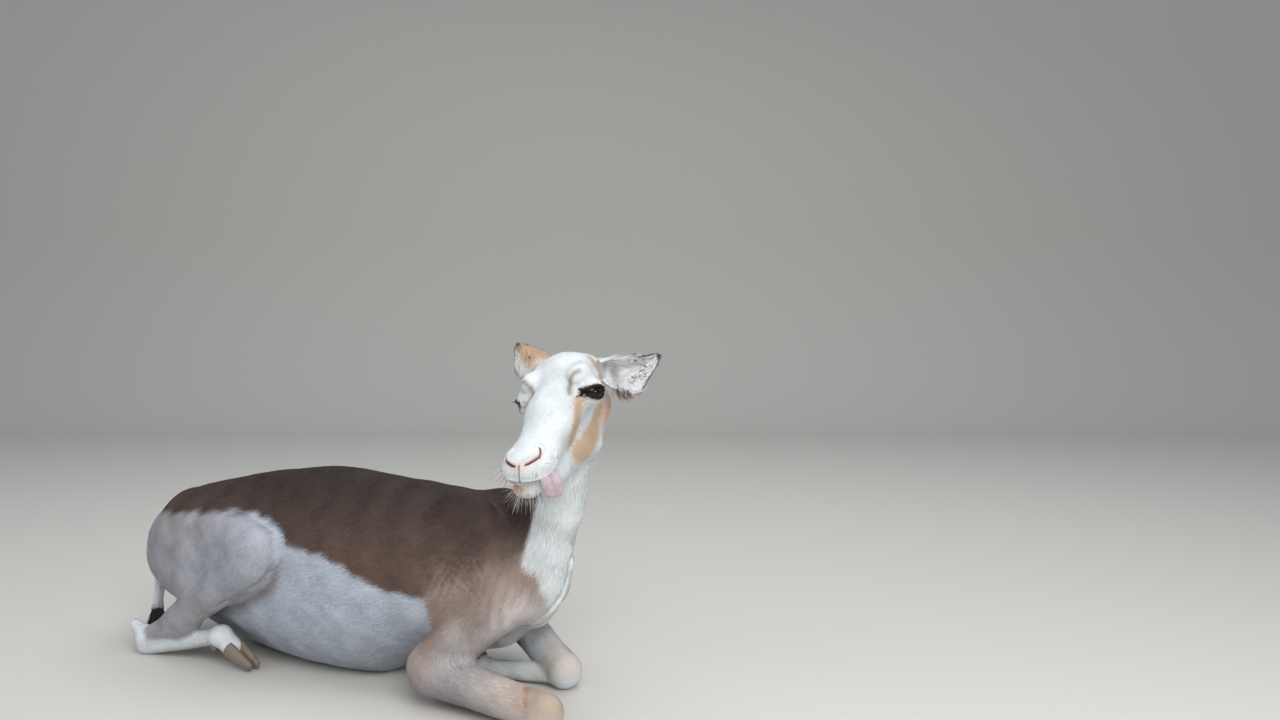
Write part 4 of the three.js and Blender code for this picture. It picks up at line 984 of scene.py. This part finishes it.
OTHER_PIECES = ("eye", "tongue", "fore_hoof", "hind_hoof")
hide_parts(*[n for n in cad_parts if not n.startswith(OTHER_PIECES)])

# Eyes: wet, near-black brown balls with a wide level pupil, set behind the lids. Each is a ball with a bulge
# at its front, where the cornea is, and is held in its socket by the lids that are pressed in the skin.
IRIS, PUPIL = colour("#170e09"), colour("#040303")
EYE_BALL_R, EYE_BULGE = 14.9, 0.9


def eyeball(name, side):
    rows, columns = 40, 64
    a = np.linspace(0, np.pi, rows + 1)[:, None]
    b = np.linspace(0, 2 * np.pi, columns, endpoint=False)[None, :]
    out = (np.cos(a)[..., None] * EYE_WAY + (np.sin(a) * np.cos(b))[..., None] * EYE_LONG_WAY +
           (np.sin(a) * np.sin(b))[..., None] * -EYE_HIGH_WAY)
    bulge = EYE_BULGE * bell(a, 0.62)
    points = (EYE_AT + out[1:-1] * (EYE_BALL_R + bulge[1:-1, :, None])).reshape(-1, 3)
    ends = np.array([EYE_AT + EYE_WAY * (EYE_BALL_R + EYE_BULGE), EYE_AT - EYE_WAY * EYE_BALL_R])
    points = np.concatenate([points, ends]) * [1, side, 1]
    i, j = np.meshgrid(np.arange(rows - 2), np.arange(columns), indexing="ij")
    k = (j + 1) % columns
    ring = i * columns
    quads = np.stack([ring + j, ring + columns + j, ring + columns + k, ring + k], -1).reshape(-1, 4)
    faces = np.concatenate([quads[:, [0, 1, 2]], quads[:, [0, 2, 3]]])
    j = np.arange(columns)
    k = (j + 1) % columns
    top, low = len(points) - 2, len(points) - 1
    last = (rows - 2) * columns
    faces = np.concatenate([faces, np.stack([np.full(columns, top), j, k], 1),
                            np.stack([np.full(columns, low), last + k, last + j], 1)])
    if side < 0:
        faces = faces[:, ::-1]
    piece = mesh_object(name, from_head(points), faces)
    v = (points * [1, side, 1] - EYE_AT) / 15
    u, w, front = v @ EYE_LONG_WAY, v @ EYE_HIGH_WAY, v @ EYE_WAY
    pupil = smooth_step(1.12, 0.92, np.sqrt((u / 0.42) ** 2 + (w / 0.2) ** 2)) * (front > 0)
    iris = smooth_step(0.84, 0.7, np.hypot(u, w)) * (front > 0)
    tones = over(np.tile(PUPIL, (len(points), 1)), IRIS, iris)
    paint(piece, over(tones, PUPIL, pupil))
    return piece


# Tear-wet cornea, IOR 1.376: small, sharp glints on a dark ball.
cornea, tree, shader = material("wet_eyeball")
stored = node(tree, "ShaderNodeVertexColor", layer_name="Coat")
tree.links.new(stored.outputs["Color"], shader.inputs["Base Color"])
set_sockets(shader, Roughness=0.04, IOR=1.376)
for name, side in (("left", 1), ("right", -1)):
    piece = eyeball(f"eyeball_{name}", side)
    piece.data.materials.append(cornea)
    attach(piece, "root")
    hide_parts(f"eye_{name}")

# Tongue: soft wet muscle, lilac pink, that comes out over the left lip and hangs down. It is one closed oval
# sleeve along a bent middle line, with a groove down its upper face, and its root lies inside the mouth.
TONGUE = np.array([[88, 6, -27], [97, 12, -28], [102.8, 16.8, -29], [108.9, 22.2, -31], [112.3, 24.9, -35.5],
                   [113.6, 25.3, -42.3], [113.9, 24.9, -48.6], [114.0, 24.2, -53.6]])
TONGUE_WIDE = [6, 7, 8, 9.4, 10.2, 9.4, 6.4, 0.3]
TONGUE_THICK = [4, 4, 4, 4.2, 4.2, 3.8, 2.8, 0.3]
TONGUE_OUT, TONGUE_ACROSS = unit([0.87, 0.38, 0.31]), unit([-0.33, 0.88, -0.27])
TONGUE_ROWS, TONGUE_SIDES = 54, 40


def tongue_points():
    stations = np.linspace(0, 1, len(TONGUE))
    rows = []
    for s in np.linspace(0, 1, TONGUE_ROWS + 1) ** 0.85:
        middle = np.array([np.interp(s, stations, TONGUE[:, k]) for k in range(3)])
        near = [np.array([np.interp(np.clip(s + e, 0, 1), stations, TONGUE[:, k]) for k in range(3)])
                for e in (-0.07, 0.07)]
        middle = (middle + near[0] + near[1]) / 3
        ahead = unit(near[1] - near[0])
        across = unit(TONGUE_ACROSS - np.dot(TONGUE_ACROSS, ahead) * ahead)
        out = np.cross(across, ahead)
        out = out * np.sign(np.dot(out, TONGUE_OUT))
        wide = np.interp(s, stations, TONGUE_WIDE)
        wide = wide if s < 0.74 else TONGUE_WIDE[5] * max(1 - ((s - 0.74) / 0.26) ** 2, 0.0005) ** 0.7
        thick = np.interp(s, stations, TONGUE_THICK) * (wide / max(wide, 4.0))
        a = np.linspace(0, 2 * np.pi, TONGUE_SIDES, endpoint=False)[:, None]
        groove = 1.5 * bell(np.cos(a) * wide, 1.7) * (np.sin(a) > 0) * smooth_step(1.0, 0.75, s)
        curl = 1.6 * np.cos(a) ** 2 * (wide / 10)
        rows.append(middle + across * np.cos(a) * wide + out * (np.sin(a) * thick - groove + curl))
    return np.array(rows)


def sleeve_faces(rows, sides, first_end, last_end):
    """Triangles of a closed sleeve of rings, with a point at each end."""
    i, j = np.meshgrid(np.arange(rows - 1), np.arange(sides), indexing="ij")
    k = (j + 1) % sides
    ring, above = i * sides, (i + 1) * sides
    quads = np.stack([ring + j, ring + k, above + k, above + j], -1).reshape(-1, 4)
    j, k = np.arange(sides), (np.arange(sides) + 1) % sides
    last = (rows - 1) * sides
    return np.concatenate([quads[:, [0, 1, 2]], quads[:, [0, 2, 3]],
                           np.stack([np.full(sides, first_end), k, j], 1),
                           np.stack([np.full(sides, last_end), last + j, last + k], 1)])


def outward(points, faces):
    """The same faces, turned over if they look inwards."""
    a, b, c = (points[faces[:, k]] for k in range(3))
    return faces if (np.cross(a, b) * c).sum() > 0 else faces[:, ::-1]


rings = tongue_points()
points = np.concatenate([rings.reshape(-1, 3), [rings[0].mean(0), rings[-1].mean(0)]])
ends = TONGUE_SIDES * (TONGUE_ROWS + 1)
faces = sleeve_faces(TONGUE_ROWS + 1, TONGUE_SIDES, ends, ends + 1)
points = from_head(points)
tongue = mesh_object("tongue_soft", points, outward(points - points.mean(0), faces))
# Moist tongue skin, IOR 1.4: a soft broken shine over buds about 0.9 mm apart, in lilac clouds of 6 mm.
wet_muscle, tree, shader = material("wet_tongue")
place = node(tree, "ShaderNodeTexCoord")
buds = node(tree, "ShaderNodeTexVoronoi", {"Vector": place.outputs["Object"], "Scale": per_metre(0.9091)})
blotch = node(tree, "ShaderNodeTexNoise", {"Vector": place.outputs["Object"],
                                           "Scale": per_metre(6.25), "Detail": 4.0})
pinks = node(tree, "ShaderNodeMix", {"Factor": blotch.outputs["Fac"], "A": [*colour("#a8929a"), 1],
                                     "B": [*colour("#c6b5bd"), 1]}, data_type="RGBA")
bump = node(tree, "ShaderNodeBump", {"Height": buds.outputs["Distance"], "Strength": 0.5, "Distance": 0.0003})
tree.links.new(pinks.outputs["Result"], shader.inputs["Base Color"])
tree.links.new(bump.outputs["Normal"], shader.inputs["Normal"])
set_sockets(shader, Roughness=0.32, IOR=1.4, Subsurface_Weight=0.15, Subsurface_Scale=0.002)
tongue.data.materials.append(wet_muscle)
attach(tongue, "root")
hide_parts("tongue")

# Hooves: two pointed claws of grey brown horn on each foot, with fine rings of growth round them, and two
# small dewclaws behind the fetlock. Each claw is a tapered field cut off at the coronet, where hair begins.
DEWCLAW_BACK = {"fore": [0, 0, 1], "hind": [-0.3, 0, -1]}


def claw(start, way, across, toe, thick, by):
    heel = start + across * by * (thick * 0.62 + 0.3)
    tip = toe - way * 5 + across * by * 5.6
    horn = bar(heel - way * 2, tip, across, thick * 0.58, thick * 0.86, 4.4, 5.5)

    def field(p):
        s = (p - start) @ way
        rings = 0.16 * np.cos(2 * np.pi * (s + 0.4 * flutter(p, 12, 81)) / 3.1)
        return np.maximum(np.maximum(horn(p) + rings, 0.3 - s), 0.35 - p[:, 2])
    box = np.array([heel, tip])
    return facets(field, [np.arange(lo - 14, hi + 14, 1.15) for lo, hi in zip(box.min(0), box.max(0))])


def pebble(centre, size, ways):
    """A small closed oval, for a dewclaw."""
    a = np.linspace(0, np.pi, 14)[1:-1, None]
    b = np.linspace(0, 2 * np.pi, 20, endpoint=False)[None, :]
    ball_points = np.stack([np.sin(a) * np.cos(b), np.sin(a) * np.sin(b), np.cos(a) + 0 * b], -1)
    ball_points = np.concatenate([ball_points.reshape(-1, 3), [[0, 0, 1], [0, 0, -1]]])
    faces = sleeve_faces(12, 20, 240, 241)
    points = centre + (ball_points * size) @ ways
    return points, outward(points - centre, faces)


# Worn keratin, IOR 1.54: a low satin shine over scuffs about 4 mm long and paler and darker bands of 22 mm.
horn_finish, tree, shader = material("worn_hoof_horn")
place = node(tree, "ShaderNodeTexCoord")
streak = node(tree, "ShaderNodeTexNoise", {"Vector": place.outputs["Object"],
                                           "Scale": per_metre(3.846), "Detail": 5.0})
cloud = node(tree, "ShaderNodeTexNoise", {"Vector": place.outputs["Object"],
                                          "Scale": per_metre(22.22), "Detail": 2.0})
greys = node(tree, "ShaderNodeMix", {"Factor": cloud.outputs["Fac"], "A": [*colour("#5c5148"), 1],
                                     "B": [*colour("#958777"), 1]}, data_type="RGBA")
bump = node(tree, "ShaderNodeBump", {"Height": streak.outputs["Fac"], "Strength": 0.4, "Distance": 0.0004})
tree.links.new(greys.outputs["Result"], shader.inputs["Base Color"])
tree.links.new(bump.outputs["Normal"], shader.inputs["Normal"])
set_sockets(shader, Roughness=0.48, IOR=1.54)
for side_name in FORE:
    side = FORE[side_name][0]
    feet = {"fore": (FORE[side_name][3], FORE[side_name][4], 11.5),
            "hind": (mirrored(HIND_FETLOCK, side), mirrored(HIND_TOE, side), 12)}
    for foot, (fetlock, toe, thick) in feet.items():
        fetlock, toe = np.array(fetlock, float), np.array(toe, float)
        start = lerp(fetlock, toe, PASTERN)
        way = unit(toe - start)
        across = unit(np.cross(way, [0, 0, 1]))
        back = unit(np.array(DEWCLAW_BACK[foot], float))
        back = unit(back - np.dot(back, way) * way)
        parts = [claw(start, way, across, toe, thick, by) for by in (-1, 1)]
        for by in (-1, 1):
            at = fetlock + back * (thick + 2.0) + across * by * 6.5 + way * 2
            parts.append(pebble(at, [4.2, 3.6, 6.0], np.array([across, back, way])))
        counts = np.cumsum([0] + [len(p) for p, _ in parts])
        points = np.concatenate([p for p, _ in parts])
        points[:, 2] = np.maximum(points[:, 2], 0.3)
        faces = np.concatenate([f + n for (_, f), n in zip(parts, counts)])
        piece = mesh_object(f"{foot}_hooves_{side_name}", points, faces)
        piece.data.materials.append(horn_finish)
        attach(piece, "root")
        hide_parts(f"{foot}_hoof_{side_name}_inner", f"{foot}_hoof_{side_name}_outer")

# Coat: short straight hair in thousands of small closed tufts, each four thin faces, that lie back along the
# body, finest on the face and the feet. Every tuft takes its colour from the markings at its root.
COAT_TUFTS = 320000


def lie_of(p, n):
    """The way the hair lies at points on the skin."""
    total = np.zeros((len(p), 3))

    def pull(distance, way, reach=9.0):
        nonlocal total
        total += np.exp(-np.maximum(distance, -4) / reach)[:, None] * way
    pull(trunk(p), np.array([-0.96, 0, -0.28]))
    pull(neck(p), np.array([-0.25, 0, -0.97]))
    for side, name in ((-1, "right"), (1, "left")):
        _, elbow, carpus, fetlock, _ = FORE[name]
        _, stifle, hock, hind_fetlock, _ = hind_joints(side)
        field = legs[name]
        pull(field["upper_arm"](p), np.array([-0.5, 0, -0.87]))
        pull(field["forearm"](p), unit(np.subtract(carpus, elbow)))
        pull(field["fore_foot"](p), unit(np.subtract(fetlock, carpus)))
        pull(field["thigh"](p), np.array([-0.55, 0, -0.83]))
        pull(field["shank"](p), unit(np.subtract(hock, stifle)))
        pull(field["hind_foot"](p), unit(np.subtract(hind_fetlock, hock)))
    q = to_head(p)
    way = np.stack([-np.ones(len(q)), 0.012 * q[:, 1], np.where(q[:, 2] < -20, -0.35, 0.1)], 1)
    way[:, 2] += smooth_step(96, 120, q[:, 0]) * np.where(q[:, 2] < -10, -1.2, 0.6)
    pull(head(p), unit(way) @ HEAD_AXES, 6.0)
    pull(tail(p), np.array([-0.25, -0.1, -0.96]), 6.0)
    for name, (_, sheet) in ears.items():
        way = sheet[-1].mean(0) - sheet[4].mean(0)
        far = np.min([np.linalg.norm(p - sheet[k].mean(0), axis=1) for k in (14, 24, 34, 44)], 0) - 16
        pull(np.where(far < 14, far * 0.5, 99), unit(way) * 2.5, 6.0)
    sway = 0.07 * flutter(p, 55, 51)
    total += unit(np.cross(n, total)) * sway[:, None] * np.linalg.norm(total, axis=1)[:, None]
    total -= n * (total * n).sum(1)[:, None]
    return unit(total + 1e-9)


def coat_sizes(p, ear_rows):
    """Length, width and lift of the tufts at points on the skin, and how close together they stand."""
    q = to_head(p)
    on_head = smooth_step(16, 2, head(p))
    muzzle = on_head * smooth_step(60, 105, q[:, 0])
    foot = smooth_step(10, 1, np.min([legs[k][f](p) for k in legs for f in ("fore_foot", "hind_foot")], 0))
    on_neck = smooth_step(14, 2, neck(p)) * (1 - on_head)
    on_ear = np.max([smooth_step(4, 2, rows[:, 3]) * smooth_step(0.06, 0.16, rows[:, 0])
                     for rows in ear_rows.values()], 0)
    length = lerp(8.5, 9.5, on_neck)
    length = lerp(length, 4.6, on_head)
    length = lerp(length, 2.6, muzzle)
    length = lerp(length, 5.2, foot)
    length = lerp(length, 5.0, on_ear)
    width = lerp(1.0, 0.68, on_head)
    width = lerp(width, 0.42, muzzle)
    width = lerp(width, 0.7, np.maximum(foot, on_ear))
    lift = lerp(3.2, 3.8, on_neck)
    lift = lerp(lift, 6.0, on_head)
    number = 3.4 / (length * width) ** 0.8
    return length, width, np.radians(lift), number


def scattered(points, faces, count, seed, weight):
    """Places spread over a mesh by area and weight: a face and three shares of its corners for each."""
    draw = np.random.RandomState(seed)
    a, b, c = (points[faces[:, k]] for k in range(3))
    area = np.linalg.norm(np.cross(b - a, c - a), axis=1) / 2
    steps = np.cumsum(area * weight)
    at = (np.arange(count) + draw.uniform(0, 1, count)) * steps[-1] / count
    face = np.minimum(np.searchsorted(steps, at), len(faces) - 1)
    u, v = draw.uniform(0, 1, (2, count))
    fold = u + v > 1
    u, v = np.where(fold, 1 - u, u), np.where(fold, 1 - v, v)
    return face, np.stack([1 - u - v, u, v], 1)


def spot(values, corners, shares):
    """What the skin's points hold, at places given by corners and shares of them."""
    return (values[corners] * shares[..., None]).sum(1)


def tips_of(roots, normals, ways, length, height):
    """Tips that lie at the same small height over the skin where it curves in and where it curves out."""
    tip = roots + ways * length[:, None]
    off = skin_field(tip) - skin_field(roots) - height
    return tip - normals * np.clip(off, -3, 3)[:, None]


def tufts(roots, normals, ways, width, tips):
    """Closed four-sided tufts: two corners and a ridge at the root, and a tip, each lit much as the skin."""
    side = np.cross(normals, ways)
    base = roots - normals * 0.2
    half = (width / 2)[:, None] * side
    ridge = (width * 0.28)[:, None] * normals
    points = np.stack([base + half, base - half, base + ridge, tips], 1).reshape(-1, 3)
    facing = unit(np.stack([normals + 0.5 * side, normals - 0.5 * side, normals, normals + 0.15 * ways], 1))
    first = np.arange(len(roots))[:, None] * 4
    faces = (first[:, None] + np.array([[2, 3, 0], [2, 1, 3], [0, 3, 1], [0, 1, 2]])).reshape(-1, 3)
    return points, faces, facing.reshape(-1, 3)


def unwrapped(roots, normals):
    """A place on the skin's own unwrap for each root: six tiles by the way the skin faces, side by side."""
    axis = np.argmax(np.abs(normals), axis=1)
    tile = axis * 2 + (normals[np.arange(len(roots)), axis] > 0)
    out = np.zeros((len(roots), 2))
    for t in range(6):
        k = tile == t
        if not k.any():
            continue
        plane = [i for i in range(3) if i != t // 2]
        flat = roots[k][:, plane]
        low, span = flat.min(0), np.maximum(np.ptp(flat, axis=0), 1e-6)
        corner = np.array([t % 3, t // 3]) * [1 / 3, 1 / 2]
        out[k] = corner + 0.01 + (flat - low) / span * [1 / 3 - 0.02, 1 / 2 - 0.02]
    return out


PATCH = 0.003
GOLDEN_TURN = 2.4


def give_bake_map(piece, places, corners):
    """A map for the bake: each tuft is a small patch at its root's place."""
    shape = np.array([[-0.5, -0.5], [0.5, -0.5], [0, -0.2], [0, 0.5]]) * PATCH
    if corners != 4:
        turn = np.arange(corners) * GOLDEN_TURN
        shape = np.stack([np.cos(turn), np.sin(turn)], 1) * PATCH / 2 * np.linspace(0.4, 1, corners)[:, None]
    uv = (places[:, None, :] + shape[None]).reshape(-1, 2)
    layer = piece.data.uv_layers.new(name="OFBake")
    loops = np.zeros(len(piece.data.loops), np.int32)
    piece.data.loops.foreach_get("vertex_index", loops)
    layer.data.foreach_set("uv", uv[loops].astype(np.float32).ravel())


# Short dry hair: a faint silky shine along the lie of the coat, in locks about 6 mm across.
hair, tree, shader = material("springbok_hair")
stored = node(tree, "ShaderNodeVertexColor", layer_name="Coat")
place = node(tree, "ShaderNodeTexCoord")
locks = node(tree, "ShaderNodeTexNoise", {"Vector": place.outputs["Object"],
                                          "Scale": per_metre(6.25), "Detail": 2.0})
depth = node(tree, "ShaderNodeMapRange", {"Value": locks.outputs["Fac"], "To Min": 0.9, "To Max": 1.08})
tinted = node(tree, "ShaderNodeVectorMath", {0: stored.outputs["Color"], 1: depth.outputs["Result"]},
              operation="MULTIPLY")
tree.links.new(tinted.outputs["Vector"], shader.inputs["Base Color"])
set_sockets(shader, Roughness=0.62, Specular_IOR_Level=0.35)

centres = skin_points[skin_faces].mean(1)
face_ears = {k: rows[skin_faces[:, 0]] for k, rows in skin_ears.items()}
_, _, _, number = coat_sizes(centres, face_ears)
bare = np.zeros(len(centres))
head_places = to_head(plain_points[skin_faces].mean(1))
for side in (1, -1):
    far, _, opening, _, _ = eye_place(head_places, side)
    bare = np.maximum(bare, (far < 26) & (opening < 1.22))
bare = np.maximum(bare, line_distance(nose_place(head_places), NOSTRIL_LINE)[0] < 2.2)
bare = np.maximum(bare, line_distance(head_places, LIP_LINE)[0] < 2.0)
bare = np.maximum(bare, line_distance(head_places, PHILTRUM_LINE)[0] < 1.2)
bare = np.maximum(bare, under_lip(head_places) > 0.3)
bare = np.maximum(bare, centres[:, 2] < 2.5)
inside_ear = np.max([(rows[:, 2] < 0) * (rows[:, 3] < 3) * (rows[:, 0] > 0.05)
                     for rows in face_ears.values()], 0)
face, shares = scattered(skin_points, skin_faces, COAT_TUFTS, 5, number * (1 - bare) * (1 - 0.7 * inside_ear))
corners = skin_faces[face]
roots = spot(skin_points, corners, shares)
root_normals = unit(spot(skin_normals, corners, shares))
root_ears = {k: rows[corners[:, 0]] for k, rows in skin_ears.items()}
length, width, lift, _ = coat_sizes(roots, root_ears)
draw = np.random.RandomState(8)
ways = lie_of(roots, root_normals)
ways = unit(ways + np.cross(root_normals, ways) * draw.normal(0, 0.09, (len(roots), 1)))
length = length * draw.uniform(0.75, 1.2, len(roots))
width = width * draw.uniform(0.8, 1.25, len(roots))
lift = lift * draw.uniform(0.5, 1.4, len(roots))
plain_roots = spot(plain_points, corners, shares)
uneven = lerp(0.10, 0.05, smooth_step(16, 2, head(roots)))[:, None]
root_colours = markings(plain_roots, root_normals, root_ears)
root_colours = root_colours * (1 + uneven * draw.normal(0, 1, (len(roots), 1)))
tips = tips_of(roots, root_normals, ways, length, length * np.sin(lift))
# Painted shade in each tuft: the root's corners a little darker and the tip a little lighter than its
# markings.
shade = np.array([0.94, 0.94, 0.99, 1.03])

root_places = to_head(roots)
near_head = (head(roots) < 7) & (roots[:, 2] > 235)
near_ear = np.max([rows[:, 3] < 4 for rows in root_ears.values()], 0)
NECK_X, NECK_Z, BREAST_X, FLANK_X = 262, 112, 150, -110
sections = {
    "coat_ears": near_ear > 0,
    "coat_face_left": near_head & (root_places[:, 1] >= 0),
    "coat_face_right": near_head & (root_places[:, 1] < 0),
    "coat_neck": (roots[:, 0] > NECK_X) & (roots[:, 2] > NECK_Z),
    "coat_breast": (roots[:, 0] > BREAST_X) & (roots[:, 1] < 0),
    "coat_shoulder_left": roots[:, 0] > BREAST_X,
    "coat_flank_right": (roots[:, 0] > FLANK_X) & (roots[:, 1] < 0),
    "coat_flank_left": roots[:, 0] > FLANK_X,
    "coat_rump_right": roots[:, 1] < 0,
    "coat_rump_left": roots[:, 1] >= 0}
taken = np.zeros(len(roots), bool)
for name, chosen in sections.items():
    k = np.flatnonzero(chosen & ~taken)
    taken[k] = True
    if len(k) == 0:
        continue
    points, faces, facing = tufts(roots[k], root_normals[k], ways[k], width[k], tips[k])
    points[:, 2] = np.maximum(points[:, 2], 0.2)
    piece = mesh_object(name, points, faces)
    piece.data.normals_split_custom_set_from_vertices(facing.tolist())
    paint(piece, (root_colours[k][:, None, :] * shade[None, :, None]).reshape(-1, 3))
    give_bake_map(piece, unwrapped(roots[k], root_normals[k]), 4)
    piece.data.materials.append(hair)
    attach(piece, "root")
    "brown_coat" if "flank" in name or "rump" in name else "white_coat"

# Long hairs: whiskers on lips and chin, lashes, the white combs inside the ears, the hair at their roots, and
# the dark tuft that ends the tail. Each hair is a closed, tapered, three-sided tube, bent by its own weight.
def strands(roots, ways, pulls, lengths, widths, rings):
    """Points and faces of closed three-sided hairs that end in a fine tip."""
    rows = []
    for s in np.linspace(0, 1, rings + 1)[:-1]:
        ahead = unit(ways + pulls * 2 * s)
        side = unit(np.cross(ahead, [0.31, 0.52, 0.8]))
        up = np.cross(ahead, side)
        middle = roots + (ways * s + pulls * s * s) * lengths[:, None]
        r = (widths / 2 * (1 - s) ** 0.6)[:, None]
        rows += [middle + (side * math.cos(a) + up * math.sin(a)) * r for a in (0, 2.0944, 4.1888)]
    rows.append(roots + (ways + pulls) * lengths[:, None])
    points = np.stack(rows, 1)
    faces = [[0, 2, 1]]
    for k in range(rings - 1):
        for j in range(3):
            a, b = 3 * k + j, 3 * k + (j + 1) % 3
            faces += [[a, b, b + 3], [a, b + 3, a + 3]]
    last, tip = 3 * (rings - 1), 3 * rings
    faces += [[last + j, last + (j + 1) % 3, tip] for j in range(3)]
    first = np.arange(len(roots))[:, None, None] * points.shape[1]
    return points.reshape(-1, 3), (first + np.array(faces)[None]).reshape(-1, 3)


def hair_piece(name, roots, ways, pulls, lengths, widths, colours, rings=5):
    corners = 3 * rings + 1
    points, faces = strands(roots, ways, pulls, lengths, widths, rings)
    points[:, 2] = np.maximum(points[:, 2], 0.3)
    piece = mesh_object(name, points, faces)
    paint(piece, np.repeat(colours, corners, axis=0))
    give_bake_map(piece, unwrapped(roots, unit(ways)), corners)
    piece.data.materials.append(hair)
    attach(piece, "root")


def grown_at(weight, count, seed):
    """Roots and the skin's normals at places drawn by weight over the skin."""
    face, shares = scattered(skin_points, skin_faces, count, seed, weight)
    corners = skin_faces[face]
    return spot(skin_points, corners, shares), unit(spot(skin_normals, corners, shares))


WHISKERS, LASHES, COMB_HAIRS, EAR_ROOT_HAIRS, TAIL_HAIRS = 240, 46, 620, 220, 900
draw = np.random.RandomState(21)
q = head_places
lip = (q[:, 0] > 100) & (q[:, 0] < 121) & (np.abs(q[:, 1]) > 14) & (q[:, 2] < -13) & (q[:, 2] > -25)
chin_hair = (q[:, 0] > 88) & (q[:, 2] < -37) & (q[:, 2] > -62)
roots, out = grown_at((lip * 0.6 + chin_hair * 1.0) * (1 - bare), WHISKERS, 31)
down = np.array([0, 0, -1.0])
ways = unit(out + 0.35 * down + draw.normal(0, 0.22, (len(roots), 3)))
dark = (draw.uniform(0, 1, len(roots)) < 0.45)[:, None]
sag = np.tile(down, (len(roots), 1)) * draw.uniform(0.05, 0.35, (len(roots), 1))
hair_piece("whiskers", roots, ways, sag,
           draw.uniform(7, 19, len(roots)), draw.uniform(0.22, 0.34, len(roots)),
           np.where(dark, colour("#3a302b"), colour("#e6e3de")))

roots, ways, pulls = [], [], []
for side in (1, -1):
    u = np.linspace(-0.6, 0.4, LASHES) * EYE_LONG + draw.normal(0, 0.15, LASHES)
    w = 1.12 * EYE_HIGH * 1.1 * np.sqrt(np.maximum(1 - (u / EYE_LONG / 1.12) ** 2, 0.05))
    across = (u[:, None] * EYE_LONG_WAY + w[:, None] * EYE_HIGH_WAY) / LID_R
    out = across + EYE_WAY * np.sqrt(np.maximum(1 - (across ** 2).sum(1), 0.04))[:, None]
    at = EYE_AT + out * (LID_EDGE + 1.0)
    way = unit(out * 0.8 - EYE_HIGH_WAY * 0.6 + EYE_LONG_WAY * (0.25 * u / EYE_LONG)[:, None])
    roots.append(from_head(at * [1, side, 1]))
    ways.append((way * [1, side, 1]) @ HEAD_AXES)
    pulls.append(np.tile((EYE_HIGH_WAY * 0.3 * [1, side, 1]) @ HEAD_AXES, (LASHES, 1)))
roots, ways, pulls = (np.concatenate(v) for v in (roots, ways, pulls))
hair_piece("lashes", roots, ways, pulls, draw.uniform(3.5, 5.5, len(roots)), np.full(len(roots), 0.36),
           np.tile(colour("#241a16"), (len(roots), 1)))

COMBS = [-0.86, -0.3, 0.28, 0.84]
for name, (_, sheet) in ears.items():
    count = COMB_HAIRS
    t = draw.uniform(0.14, 0.9, count)
    comb = draw.choice(COMBS, count) + draw.normal(0, 0.075, count)
    i = np.clip(t * EAR_ROWS, 1, EAR_ROWS - 1)
    j = np.clip((comb + 1) / 2 * EAR_COLUMNS, 0, EAR_COLUMNS)
    i0, j0 = i.astype(int), np.minimum(j.astype(int), EAR_COLUMNS - 1)
    share = (j - j0)[:, None]
    at = lerp(sheet[i0, j0], sheet[i0, j0 + 1], share)
    along = unit(sheet[i0 + 1, j0] - sheet[i0 - 1, j0])
    across = unit(sheet[i0, j0 + 1] - sheet[i0, j0])
    inward = np.cross(along, across)
    hollow = sheet[i0].mean(1) - sheet[i0, EAR_COLUMNS // 2]
    inward = inward * np.sign((inward * hollow).sum(1))[:, None]
    roots = at + inward * 1.0
    ways = unit(along + 0.16 * inward + across * (0.35 * comb + draw.normal(0, 0.1, count))[:, None])
    hair_piece(f"ear_comb_{name}", roots, ways, inward * draw.uniform(0.0, 0.18, (count, 1)),
               draw.uniform(9, 17, count) * (1.1 - 0.5 * t), draw.uniform(0.45, 0.7, count),
               np.tile(colour("#e8e5e2"), (count, 1)) * draw.normal(1, 0.05, (count, 1)))
    count = EAR_ROOT_HAIRS
    low_edge = 0 if sheet[6, 0, 2] < sheet[6, -1, 2] else -1
    row = draw.randint(7, 18, count)
    at = sheet[row, low_edge] + draw.normal(0, 2.2, (count, 3))
    along = unit(sheet[row + 1, low_edge] - sheet[row, low_edge])
    ways = unit(0.7 * along + 0.75 * down + draw.normal(0, 0.3, (count, 3)))
    # About half of the hairs at an ear's root are dark: painted shade of the hollow under the ear.
    dark = draw.uniform(0, 1, count)[:, None] < 0.5
    hair_piece(f"ear_root_hair_{name}", at, ways, np.tile(down * 0.2, (count, 1)),
               draw.uniform(4, 12, count), draw.uniform(0.5, 0.8, count),
               np.where(dark, colour("#4a3b35"), colour("#cfc8c4")))

count = TAIL_HAIRS
t = draw.uniform(0, 1, count)
end, before = np.array(TAIL[-1], float), np.array(TAIL[-2], float)
way = unit(end - before)
side = unit(np.cross(way, [0, 0, 1]))
up = np.cross(side, way)
a = draw.uniform(0, 2 * np.pi, count)
around = side * np.cos(a)[:, None] + up * np.sin(a)[:, None]
roots = lerp(before, end, t[:, None]) + around * lerp(6.2, 4.2, t)[:, None]
ways = unit(way + around * draw.uniform(0.05, 0.32, (count, 1)) + draw.normal(0, 0.05, (count, 3)))
sag = np.tile(down * 0.25, (count, 1))
hair_piece("tail_tuft", roots, ways, sag, draw.uniform(30, 50, count),
           draw.uniform(0.7, 1.1, count),
           np.tile(colour("#33271f"), (count, 1)) * draw.normal(1, 0.12, (count, 1)))
